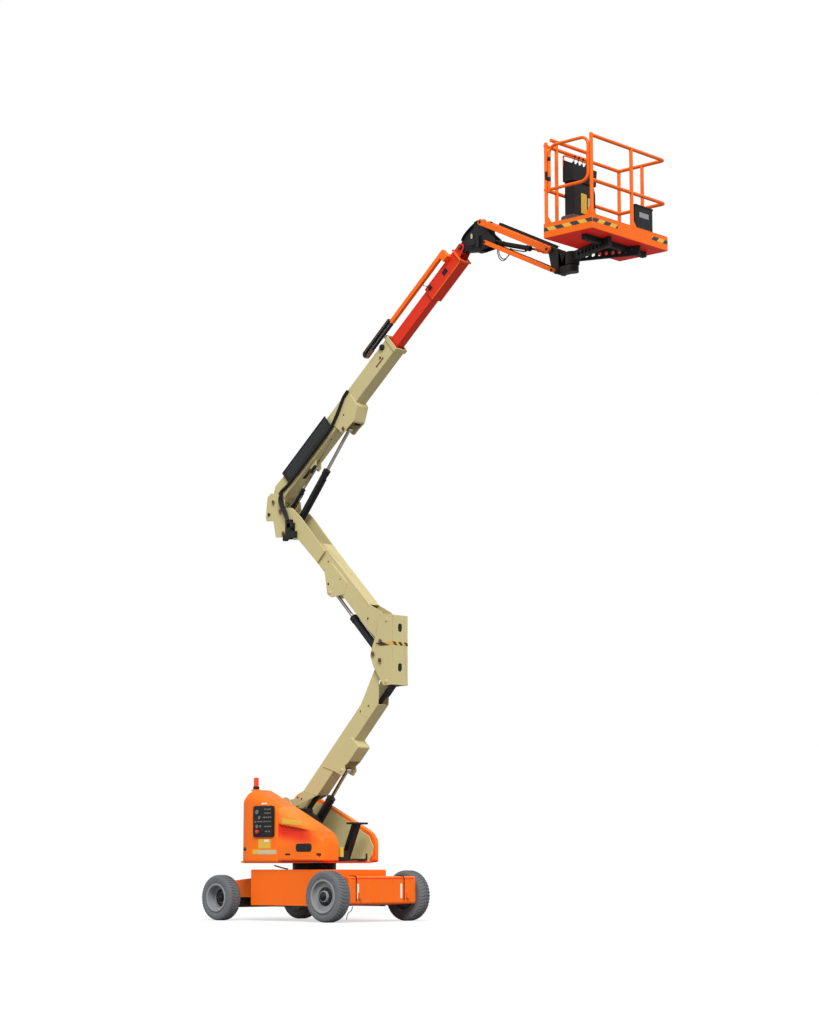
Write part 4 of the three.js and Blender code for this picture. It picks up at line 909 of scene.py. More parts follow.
# ---------------------------------------------------------------- running gear
@dataclass
class Wheel:
    """A foam-filled tyre with lugs, on a bolted rim."""

    end: str
    side: Side
    radius: float
    centre: Vector
    half_width: float = 0.099
    depth: float = 0.128
    lugs: int = 46
    bolts: int = 8
    sides: int = 96
    lip_sides: int = 64

    def build(self, shop: Workshop, repeater: Repeater) -> None:
        """Make the tyre, its lugs and the rim."""
        body = f"{self.end}_wheel_{self.side.word}"
        node = f"{self.end}_tyre_{self.side.word}"
        flip = self.side is Side.RIGHT
        shop.piece(f"{node}_carcass", moved(self._carcass(), self.centre, flip), TYRE, body, 0, [node])
        for name, sign in (("outer", 1), ("inner", -1)):
            lug = moved(repeater.ring(self._lug(sign), self.lugs, TYRE), self.centre, flip)
            shop.piece(f"{node}_lugs_{name}", lug, TYRE, body)
        self._dress_rim(shop, repeater, body, flip)

    def _carcass(self) -> bpy.types.Mesh:
        """The tyre under its lugs: bead, ribbed sidewall, shoulder and groove bottom."""
        r, w = self.radius, self.half_width
        rim = r - self.depth
        half = [
            (rim + 0.002, w - 0.016), (rim + 0.010, w - 0.006), (rim + 0.024, w - 0.004),
            (rim + 0.028, w - 0.009), (rim + 0.036, w - 0.009), (rim + 0.040, w - 0.002),
            (rim + 0.072, w), (rim + 0.076, w - 0.005), (rim + 0.082, w - 0.005), (rim + 0.086, w),
            (r - 0.028, w - 0.006), (r - 0.016, w - 0.018), (r - 0.010, w - 0.040), (r - 0.009, 0.012),
            (r - 0.014, 0.008),
        ]
        loop = [(y, rad) for rad, y in half] + [(-y, rad) for rad, y in reversed(half)]
        return Solid().loft(hoops(loop, self.sides), closed=True).mesh("carcass")

    def _lug(self, sign: int) -> Solid:
        """One slanting tread block, from near the middle over the shoulder."""
        r, w = self.radius, self.half_width
        reach = math.pi * r / self.lugs
        sections = []
        for y, top, lean in ((0.010, 0.0, 0.0), (0.050, 0.0, 0.5), (w - 0.030, -0.004, 0.9),
                             (w - 0.010, -0.016, 1.0), (w - 0.001, -0.040, 1.0)):
            centre = lean * reach * 0.9
            half = reach * (0.66 if y < 0.06 else 0.56)
            low = r + top - 0.016
            sections.append([
                Vector((centre - half, sign * y, low)), Vector((centre - half * 0.86, sign * y, r + top)),
                Vector((centre + half * 0.86, sign * y, r + top)), Vector((centre + half, sign * y, low)),
            ])
        return Solid().loft(sections)

    def _dress_rim(self, shop: Workshop, repeater: Repeater, body: str, flip: bool) -> None:
        """The rim with its bolts, and the hub's cap."""
        drive = self.end == "drive"
        name = f"{self.end}_rim_{self.side.word}"
        shop.dressed(name, RIM_GREY, 0.002)
        face = 0.044 if drive else -0.026
        hub = Solid().lathe(Vector((0, face, 0)), ACROSS,
                            [(0, 0.118), (0.008, 0.118), (0.014, 0.106), (0.016, 0.070),
                             (0.030, 0.064)], 40)
        shop.piece(f"{name}_hub", moved(hub.mesh("hub"), self.centre, flip), BLACK, body)
        bolt = Solid().bolt(Vector((0, face + 0.013, 0.090)), ACROSS, 0.010)
        bolts = moved(repeater.ring(bolt, self.bolts, LOUVRE), self.centre, flip)
        shop.piece(f"{name}_bolts", bolts, LOUVRE, body)
        reach = 0.09 if drive else 0.0
        cap = Solid().lathe(Vector((0, reach - 0.004, 0)), ACROSS,
                            [(0, 0.060), (0.006, 0.060), (0.012, 0.046), (0.026, 0.042), (0.032, 0.034)],
                            32)
        shop.piece(f"{name}_cap", moved(cap.mesh("cap"), self.centre, flip), BLACK, body)
        ring = self.radius - self.depth
        profile = [(0.078, ring - 0.010), (0.100, ring - 0.008), (0.103, ring + 0.010),
                   (0.098, ring + 0.014),
                   (0.094, ring - 0.002), (0.078, ring - 0.004)]
        lip = Solid().loft(hoops(profile, self.lip_sides), closed=True)
        shop.piece(f"{name}_lip", moved(lip.mesh("lip"), self.centre, flip), RIM_GREY, body)


@dataclass
class Chassis:
    """The chassis box, its axles, and what is fixed to them."""

    deck: float = 0.47
    front: float = 1.25
    slew_bolts: int = 24
    bolt_circle: float = 0.268

    def build(self, shop: Workshop) -> None:
        """Dress the castings and add the plates, straps, and red lines of painted shade along the axle's
        seams.
        """
        for node, finish in (("chassis_frame", ORANGE), ("drive_axle", ORANGE), ("steer_axle", BLACK),
                             ("steer_knuckle_left", BLACK), ("steer_knuckle_right", BLACK),
                             ("tie_rod", BLACK), ("slew_ring", BLACK)):
            shop.dressed(node, finish, 0.005 if finish is ORANGE else 0.002)
        skid = Solid()
        for side in Side:
            skid.box(LEVEL, (-0.54, 0.74), mirrored(side.value, 0.560, 0.601), (-0.012, 0.004))
        shop.piece("chassis_skids", skid, BLACK, "root", 0.002)
        # Red lines of painted shade: they stand for the shade that falls in the axle's seams.
        seams = Solid()
        seams.box(LEVEL, (0.752, 0.764), (-0.628, 0.628), (0.020, 0.380))
        seams.box(LEVEL, (self.front - 0.004, self.front + 0.003), (-0.600, 0.600), (0.352, 0.362))
        shop.piece("axle_seams", seams, DEEP_RED, "root", 0.001)
        self._straps(shop)
        self._bolts(shop)

    def _straps(self, shop: Workshop) -> None:
        """The straps and blank plates on the axle, the ties on the deck and the earth strap."""
        straps = Solid()
        for y in (-0.500, 0.400):
            straps.hose([(self.front - 0.10, y - 0.030, 0.388), (self.front - 0.02, y - 0.012, 0.390),
                         (self.front + 0.006, y, 0.372), (self.front + 0.008, y + 0.004, 0.300),
                         (self.front + 0.008, y + 0.004, 0.070)], 0.006)
        shop.piece("axle_straps", straps, HOSE, "root")
        plates = Solid()
        for y in (-0.462, 0.356):
            plates.box(LEVEL, (self.front - 0.002, self.front + 0.003), (y - 0.018, y + 0.018),
                       (0.100, 0.290))
        shop.piece("axle_plates", plates, WHITE, "root", 0.001)
        ties = Solid()
        for x, sign in ((-0.16, -1), (0.56, 1)):
            ties.hose([(x, -0.33, 0.476), (x + 0.03 * sign, -0.36, 0.484),
                       (x + 0.06 * sign, -0.42, 0.500), (x + 0.09 * sign, -0.50, 0.524)], 0.009, 8)
        shop.piece("deck_straps", ties, HOSE, "root")
        grab = Solid().hose([(1.00, -0.30, 0.0), (0.99, -0.31, -0.05),
                             (0.94, -0.33, -0.10), (0.93, -0.34, -0.17)], 0.005, 8)
        shop.piece("earth_strap", grab, HOSE, "root")

    def _bolts(self, shop: Workshop) -> None:
        """The bolts on the axle's face and round the slew ring."""
        bolts = Solid()
        for y in (-0.540, -0.18, 0.18, 0.540):
            for z in (0.060, 0.330):
                bolts.bolt(Vector((self.front - 0.001, y, z)), Vector((1, 0, 0)), 0.010)
        shop.piece("axle_bolts", bolts, ORANGE, "root")
        ring = Solid()
        reach = self.bolt_circle
        for i in range(self.slew_bolts):
            turn = 2 * math.pi * i / self.slew_bolts
            ring.bolt(Vector((reach * math.cos(turn), reach * math.sin(turn), self.deck + 0.0835)), UP,
                      0.008)
        shop.piece("slew_bolts", ring, ZINC, "root")


# ---------------------------------------------------------------- turntable
@dataclass
class Hood:
    """A moulded hood, lofted from its cross-sections between tail and nose."""

    side: Side
    inner: float = 0.351
    floor: float = 0.585
    seam: float = -0.010
    sections: tuple[tuple[float, float, float, float], ...] = (
        (-0.788, 1.330, 0.470, 0.060), (-0.772, 1.400, 0.550, 0.090), (-0.725, 1.455, 0.620, 0.120),
        (-0.655, 1.498, 0.658, 0.145), (-0.575, 1.526, 0.675, 0.155), (-0.480, 1.518, 0.680, 0.150),
        (-0.229, 1.401, 0.680, 0.120), (0.0, 1.293, 0.680, 0.095), (0.420, 1.094, 0.680, 0.090),
        (0.620, 0.996, 0.678, 0.090), (0.700, 0.946, 0.658, 0.080), (0.760, 0.884, 0.610, 0.070),
        (0.786, 0.820, 0.550, 0.060), (0.790, 0.760, 0.510, 0.050))

    @property
    def share(self) -> float:
        """This hood's width as a share of the right hood's."""
        return 1.0 if self.side is Side.RIGHT else 0.3

    def _section(self, x: float) -> tuple[float, float, float]:
        """The top, outer half width and shoulder radius at x."""
        rows = self.sections
        i = max(k for k in range(len(rows) - 1) if rows[k][0] <= x or k == 0)
        a, b = rows[i], rows[i + 1]
        t = min(max((x - a[0]) / (b[0] - a[0]), 0), 1)
        top, outer, radius = (a[k] + (b[k] - a[k]) * t for k in (1, 2, 3))
        return top, self.inner + (outer - self.inner) * self.share, radius * min(1, 1.25 * self.share)

    def _dent(self, x: float, z: float) -> float:
        """How far the outer face is pushed in at a point: the scoop and the seam."""
        groove = 0.012 * math.exp(-((x - self.seam) / 0.008) ** 2)
        above = z - (1.062 - 0.15 * x)
        if x < self.seam or x > 0.66:
            return groove
        across = min(max((0.002 - above) / 0.012, 0), 1) * min(max((above + 0.30 - 0.25 * x) / 0.16, 0), 1)
        along = min(max((x - self.seam) / 0.05, 0), 1) * min(max((0.66 - x) / 0.30, 0), 1)
        return groove + 0.034 * across * along

    def build(self, shop: Workshop) -> None:
        """Loft the skin and close it."""
        low, high = self.sections[0][0], self.sections[-1][0]
        xs = sorted({round(low + (high - low) * i / 150, 4) for i in range(151)}
                    | {row[0] for row in self.sections} | {self.seam + d / 1000 for d in range(-14, 15, 2)}
                    | {high - 0.002 * k for k in range(1, 5)})
        sections = []
        for x in xs:
            top, outer, radius = self._section(x)
            hem = 0.566 if x > self.seam else 0.554
            points = [(self.inner, self.floor), (outer - 0.026, self.floor), (outer - 0.024, hem),
                      (outer - 0.008, hem + 0.012)]
            points += [(outer, hem + 0.030 + (top - radius - hem - 0.030) * k / 26) for k in range(27)]
            points += [(outer - radius + radius * math.cos(a), top - radius + radius * math.sin(a))
                       for a in (math.pi / 2 * k / 9 for k in range(1, 10))]
            points += [(self.inner, top)]
            sections.append([
                Vector((x, self.side.value * (y - (self._dent(x, z) if y > outer - radius else 0)), z))
                for y, z in points])
        name = f"hood_{self.side.word}"
        shop.piece(f"{name}_skin", Solid().loft(sections), HOOD_ORANGE, "turntable", 0, [name])


@dataclass
class Turntable:
    """The slewing deck with its hoods, ground controls, walls and boom rest."""

    face: float = 0.6803

    def build(self, shop: Workshop, repeater: Repeater) -> None:
        """Make the hoods, the deck's parts, the control panel and the plates."""
        for side in Side:
            Hood(side).build(shop)
        for node, finish in (("turntable_frame", CREAM), ("counterweight", ORANGE),
                             ("battery_pack", DARK_MOULDING),
                             ("pump_unit", BLACK), ("boom_rest", BLACK), ("valve_tray", BLACK)):
            shop.dressed(node, finish)
        self._panel(shop, repeater)
        self._plates(shop)
        self._beacon(shop)
        self._inside(shop)
        deck = Solid()
        for x0, x1, y0, y1 in ((-0.722, 0.56, -0.6415, -0.6385), (-0.740, 0.60, 0.4405, 0.4435),
                               (-0.7815, -0.7785, -0.575, 0.39), (0.6985, 0.7015, -0.50, 0.37)):
            deck.box(LEVEL, (x0, x1), (y0, y1), (0.5545, 0.5825))
        shop.piece("deck_edge", deck, ORANGE, "turntable")

    def _plate(self, us: Point2, zs: Point2, depth: float = 0.003, radius: float = 0.006) -> Solid:
        """A thin rounded plate on the right hood's face."""
        outline = fillet([(us[0], zs[0], radius), (us[1], zs[0], radius), (us[1], zs[1], radius),
                          (us[0], zs[1], radius)])
        return Solid().prism(LEVEL, outline, -self.face - depth, -self.face + 0.014)

    def _panel(self, shop: Workshop, repeater: Repeater) -> None:
        """The ground control panel with toggles, gauges and a stop button."""
        outline = fillet([(-0.456, 0.895, 0.04), (-0.066, 0.895, 0.04), (-0.066, 1.306, 0.04),
                          (-0.456, 1.306, 0.04)])
        back = self.face + 0.022
        body = Solid().prism(LEVEL, outline, -back, -self.face + 0.002)
        shop.piece("panel_face", body, BLACK, "turntable", 0.004, ["ground_control_panel"])
        inset = fillet([(-0.440, 0.911, 0.03), (-0.082, 0.911, 0.03), (-0.082, 1.290, 0.03),
                        (-0.440, 1.290, 0.03)])
        rim = Solid().prism(LEVEL, inset, -back - 0.004, -back + 0.001)
        shop.piece("panel_inset", rim, DARK_MOULDING, "turntable", 0.0015)
        out = -ACROSS
        for row, (z, count, start, step) in enumerate(
                ((1.255, 3, -0.205, 0.040), (1.205, 3, -0.205, 0.040), (1.150, 4, -0.235, 0.040),
                 (1.095, 6, -0.400, 0.055), (1.030, 3, -0.205, 0.045), (0.965, 2, -0.190, 0.050))):
            point = Vector((start, -back - 0.003, z))
            toggle = Solid().lathe(point, out, [(0, 0.013), (0.004, 0.013), (0.006, 0.009), (0.010, 0.008),
                                                (0.011, 0.0045), (0.026, 0.006), (0.029, 0.004)], 14)
            toggles = repeater.row(toggle, count, Vector((step, 0, 0)), ZINC)
            shop.piece(f"panel_toggles_{row}", toggles, ZINC, "turntable")
        gauges = Solid()
        for x, z, r in ((-0.375, 1.225, 0.030), (-0.330, 1.150, 0.021), (-0.375, 1.035, 0.022),
                        (-0.310, 1.035, 0.016)):
            gauges.lathe(Vector((x, -back - 0.003, z)), out,
                         [(0, r), (0.007, r), (0.009, r - 0.003), (0.006, r - 0.005)], 26)
        shop.piece("panel_gauges", gauges, WHITE_RING, "turntable")
        stop = Solid().lathe(Vector((-0.350, -back - 0.002, 0.965)), out,
                             [(0, 0.022), (0.010, 0.022), (0.012, 0.015), (0.020, 0.015), (0.021, 0.026),
                              (0.032, 0.026), (0.036, 0.020), (0.037, 0.004)], 30)
        shop.piece("stop_button", stop, STOP_RED, "turntable")

    def _plates(self, shop: Workshop) -> None:
        """Blank plates, black blocks of painted shade in the slot openings, and a marker lamp on the right
        hood.
        """
        for name, us, zs, finish, radius in (
            ("plate_white", (-0.315, -0.225), (1.322, 1.346), WHITE, 0.004),
            ("plate_yellow", (-0.370, -0.140), (0.745, 0.868), YELLOW, 0.006),
            ("plate_corner", (-0.255, -0.170), (0.832, 0.862), WHITE, 0.003),
            ("plate_long", (-0.470, -0.030), (0.668, 0.728), BEIGE, 0.006),
            ("plate_long_end", (-0.480, -0.370), (0.672, 0.732), YELLOW, 0.006),
            ("plate_round", (0.335, 0.622), (0.700, 0.806), BLACK, 0.045),
        ):
            shop.piece(name, self._plate(us, zs, 0.004 if "corner" in name or "end" in name else 0.003,
                                         radius), finish, "turntable", 0.0008)
        strip = Solid().prism(LEVEL, [(0.075, 1.072), (0.420, 1.040), (0.420, 1.085), (0.075, 1.140)],
                              -self.face - 0.002, -self.face + 0.024)
        shop.piece("plate_strip", strip, YELLOW, "turntable", 0.0008)
        # Black blocks of painted shade, standing for the dark inside the hood's slot openings.
        slot_shade_blocks = Solid()
        for x in (0.182, 0.705):
            slot_shade_blocks.prism(LEVEL, fillet([(x - 0.045, 0.655, 0.009), (x + 0.045, 0.655, 0.009),
                                       (x + 0.050, 0.680, 0.012),
                                       (x - 0.040, 0.680, 0.012)]),
                        -self.face - 0.001 + (0.022 if x > 0.65 else 0), -self.face + 0.045)
        shop.piece("hood_slots", slot_shade_blocks, BLACK, "turntable")
        lamp = Solid().lathe(Vector((-0.640, -self.face + 0.030, 0.742)), Vector((-0.5, -0.86, 0)),
                             [(0, 0.024), (0.020, 0.024), (0.028, 0.018), (0.030, 0.006)], 20)
        shop.piece("marker_lamp", lamp, BLACK, "turntable")

    def _beacon(self, shop: Workshop) -> None:
        """A beacon with a black collar and a ribbed lens."""
        lo, hi = shop.machine.low("beacon"), shop.machine.high("beacon")
        centre = Vector(((lo.x + hi.x) / 2, (lo.y + hi.y) / 2, lo.z))
        ribs = [(0.040, 0.030)]
        for i in range(9):
            z = 0.044 + i * 0.0125
            ribs += [(z, 0.031), (z + 0.004, 0.034), (z + 0.009, 0.034), (z + 0.0118, 0.031)]
        ribs += [(0.158, 0.027), (0.162, 0.016)]
        shop.piece("beacon_lens", Solid().lathe(centre, UP, ribs, 40), LENS, "turntable", 0, ["beacon"])
        collar = Solid().lathe(centre, UP, [(0, 0.046), (0.010, 0.046), (0.014, 0.038), (0.022, 0.038),
                                            (0.024, 0.043), (0.036, 0.043), (0.042, 0.036)], 36)
        shop.piece("beacon_collar", collar, BLACK, "turntable")
        boot = Solid().lathe(centre - UP * 0.02, UP, [(0, 0.075), (0.018, 0.060), (0.022, 0.050)], 36)
        shop.piece("beacon_boot", boot, ORANGE, "turntable")

    def _inside(self, shop: Workshop) -> None:
        """What shows between the hoods: tray block, hook, wall edges and hoses."""
        block = Solid().box(LEVEL, (0.700, 0.745), (-0.262, -0.205), (0.632, 0.760))
        shop.piece("tray_block", block, YELLOW, "turntable", 0.004)
        hook = Solid().hose([(0.735, 0.090, 0.590), (0.735, 0.215, 0.596),
                             (0.735, 0.235, 0.625), (0.735, 0.236, 0.680)], 0.013, 12)
        shop.piece("tray_hook", hook, BLACK, "turntable")
        bar = Solid().box(LEVEL, (0.715, 0.748), (-0.330, 0.240), (0.586, 0.612))
        shop.piece("tray_sill", bar, BLACK, "turntable", 0.003)
        hoses = Solid()
        for i, y in enumerate((-0.122, -0.140, 0.122)):
            hoses.hose([(-0.05, y, 0.620), (0.02, y, 0.800), (-0.04, y, 1.000),
                        (-0.13, y, 1.120 + 0.03 * i), (-0.24, y, 1.200),
                        (-0.33, y, 1.240)], 0.010, 10)
        shop.piece("tower_hoses", hoses, HOSE, "turntable")
        block = Solid().prism(LEVEL,
                              [(-0.10, 0.590), (0.40, 0.590), (0.40, 0.980), (0.20, 1.180), (-0.02, 1.280),
                               (-0.10, 1.240)], -0.300, -0.150)
        block.box(LEVEL, (0.02, 0.14), (-0.28, -0.17), (1.160, 1.270))
        shop.piece("valve_block", block, BLACK, "turntable", 0.006)


# ---------------------------------------------------------------- links and their pins
def pin_heads(points: Sequence[tuple[Vector, float]], size: float = 0.026) -> Solid:
    """Pin heads, each with a bolt below it, on both sides of a link.

    Args:
        points: each pin's centre and the y of the face that it stands on.
        size: the head's radius.
    """
    solid = Solid()
    for centre, face in points:
        for sign in (1, -1):
            start = Vector((centre.x, sign * (face - 0.002), centre.z))
            solid.lathe(start, ACROSS * sign,
                        [(0, size), (0.010, size), (0.013, size - 0.003), (0.014, size * 0.35)], 24)
            solid.bolt(start + Vector((size * 0.2, 0, -size * 1.55)), ACROSS * sign, size * 0.30)
    return solid


@dataclass
class Tower:
    """The two tower links, the knuckle between them and the upright on top."""

    plane_low: Plane
    plane_high: Plane

    def build(self, shop: Workshop) -> None:
        """Dress the links and add pins, seams, tape, valves and hoses."""
        for node in ("lower_link", "knuckle", "upper_link", "upright"):
            shop.dressed(node, CREAM, 0.004)
        shop.dressed("level_link", BLACK)
        self._lower(shop)
        self._knuckle(shop)
        self._upper(shop)
        self._upright(shop)

    def _lower(self, shop: Workshop) -> None:
        """The lower link's weld seams, marks and pin heads."""
        low = self.plane_low
        seam = Solid()
        for sign in (1, -1):
            path = [low.at(u, sign * 0.101, v) for u, v in ((0.34, -0.102), (0.40, -0.20), (0.47, -0.330))]
            seam.hose(path, 0.004, 8)
            seam.hose([low.at(u, sign * 0.101, v) for u, v in ((1.86, -0.105), (1.80, -0.20),
                                                               (1.84, -0.330))],
                      0.003, 8)
        shop.piece("lower_seams", seam, BEIGE, "lower_link")
        marks = Solid()
        for u, v in ((0.20, -0.085), (0.235, -0.150), (1.22, -0.215), (1.80, -0.160), (1.95, -0.220)):
            for sign in (1, -1):
                marks.lathe(low.at(u, sign * 0.099, v), ACROSS * sign,
                            [(0, 0.013), (0.004, 0.013), (0.006, 0.009)], 18)
        shop.piece("lower_plugs", marks, BROWN_STEEL, "lower_link")
        shop.piece("lower_pins", pin_heads([(low.at(0, 0, 0), 0.126)]), BROWN_STEEL, "lower_link")

    def _knuckle(self, shop: Workshop) -> None:
        """The knuckle's pins and its band of hazard tape."""
        machine = shop.machine
        pins = [(machine.pivot("knuckle_pivot"), 0.157), (machine.pivot("upper_link_pivot"), 0.157),
                (machine.pivot("tower_cylinder_pivot"), 0.157)]
        shop.piece("knuckle_pins", pin_heads(pins, 0.028), BROWN_STEEL, "knuckle")
        high = machine.high("knuckle")
        z = high.z - 0.42
        tape = Solid().box(LEVEL, (high.x - 0.001, high.x + 0.0015), (-0.146, 0.146), (z, z + 0.046))
        for sign in (1, -1):
            tape.box(LEVEL, (high.x - 0.30, high.x - 0.002), mirrored(sign, 0.1445, 0.1475), (z, z + 0.046))
        shop.piece("knuckle_tape", tape, KNUCKLE_TAPE, "knuckle")
        liner = Solid().box(LEVEL, (high.x - 0.020, high.x - 0.014), (-0.110, 0.110),
                            (high.z - 0.88, high.z - 0.10))
        shop.piece("knuckle_liner", liner, BLACK, "knuckle")

    def _upper(self, shop: Workshop) -> None:
        """The upper link's seams and plugs."""
        high = self.plane_high
        seam = Solid()
        for sign in (1, -1):
            seam.tube([high.at(u, sign * 0.1015, v) for u, v in ((0.50, 0.165), (0.95, 0.165),
                                                                 (1.60, 0.165))], 0.003, 8)
            seam.tube([high.at(u, sign * 0.1015, v) for u, v in ((0.78, -0.070), (0.84, 0.10),
                                                                 (0.90, 0.165))], 0.003, 8)
        shop.piece("upper_seams", seam, BEIGE, "upper_link")
        marks = Solid()
        for u, v, r in ((1.30, -0.130, 0.017), (1.52, 0.080, 0.008), (0.42, 0.030, 0.012),
                        (1.18, 0.060, 0.010)):
            for sign in (1, -1):
                marks.lathe(high.at(u, sign * 0.108, v), ACROSS * sign,
                            [(0, r), (0.005, r), (0.006, r * 0.7)], 18)
        shop.piece("upper_plugs", marks, BLACK, "upper_link")

    def _upright(self, shop: Workshop) -> None:
        """The upright's pins, black discs of painted shade for its holes, valves and hoses."""
        machine = shop.machine
        pins = [(machine.pivot("upright_pivot"), 0.177), (machine.pivot("main_boom_lift"), 0.177),
                (machine.pivot("main_cylinder_pivot"), 0.177)]
        shop.piece("upright_pins", pin_heads(pins, 0.026), BROWN_STEEL, "upright")
        # Black discs of painted shade, standing for the dark inside the upright's holes.
        shade_discs = Solid()
        lo = machine.low("upright")
        for sign in (1, -1):
            shade_discs.lathe(Vector((lo.x + 0.075, sign * 0.176, lo.z + 0.34)), ACROSS * sign,
                       [(0, 0.024), (0.002, 0.024)], 24)
        shop.piece("upright_holes", shade_discs, BLACK, "upright")
        foot = machine.pivot("main_cylinder_pivot")
        valves = Solid()
        for (x0, x1), (z0, z1) in (((0.050, 0.150), (-0.095, 0.180)), ((0.145, 0.235), (-0.080, 0.010)),
                                   ((0.080, 0.190), (0.060, 0.130)), ((0.000, 0.060), (-0.110, -0.020))):
            valves.box(LEVEL, (foot.x + x0, foot.x + x1), (-0.192, -0.130), (foot.z + z0, foot.z + z1))
        shop.piece("upright_valves", valves, BLACK, "upright", 0.006)
        lines = Solid()
        for i, y in enumerate((-0.173, -0.188, -0.203)):
            lines.hose([foot + Vector(d) for d in (
                (0.10, y, 0.16), (0.06 - 0.015 * i, y, 0.27), (0.005 - 0.020 * i, y, 0.38),
                (-0.02 - 0.020 * i, y, 0.47), (-0.03, y, 0.56))], 0.013, 10)
        shop.piece("upright_hoses", lines, HOSE, "upright")


# ---------------------------------------------------------------- cylinders
@dataclass
class LiftCylinder:
    """A hydraulic cylinder's barrel and rod with their fittings."""

    name: str
    radius: float
    ports: tuple[float, float] = (0.16, 0.88)

    def build(self, shop: Workshop, pivot: str) -> None:
        """Dress both nodes and add the gland, ports and the oil pipe.

        Args:
            shop: the workshop.
            pivot: the joint that the barrel turns about.
        """
        machine = shop.machine
        body = f"{self.name}_barrel"
        shop.dressed(body, BLACK, 0.002)
        shop.dressed(f"{self.name}_rod", CHROME, 0.0)
        stroke = next(j for j in machine.data["joints"] if j["parent"] == body)
        start, along = machine.pivot(pivot), Vector(stroke["axis"]).normalized()
        side = along.cross(ACROSS).normalized()
        mesh = machine.data["nodes"][body].data
        length = max((v.co - start).dot(along) for v in mesh.vertices)
        fittings = Solid()
        r = self.radius
        for at in (length - 0.070, length - 0.020, length * self.ports[0] + 0.02):
            fittings.lathe(start + along * at, along,
                           [(0, r + 0.002), (0.002, r + 0.006), (0.014, r + 0.006), (0.016, r + 0.002)], 36)
        route = [start + along * length * self.ports[0] - side * r * 0.9,
                 start + along * (length * self.ports[0] + 0.02) - side * (r + 0.018),
                 start + along * (length * 0.5) - side * (r + 0.020),
                 start + along * (length * self.ports[1] - 0.02) - side * (r + 0.018),
                 start + along * length * self.ports[1] - side * r * 0.9]
        fittings.hose(route, 0.0075, 10)
        for at in self.ports:
            fittings.lathe(start + along * (length * at) - side * (r * 0.8), -side,
                           [(0, 0.014), (r * 0.4 + 0.010, 0.014), (r * 0.4 + 0.012, 0.010)], 12)
        shop.piece(f"{self.name}_fittings", fittings, BLACK, body)


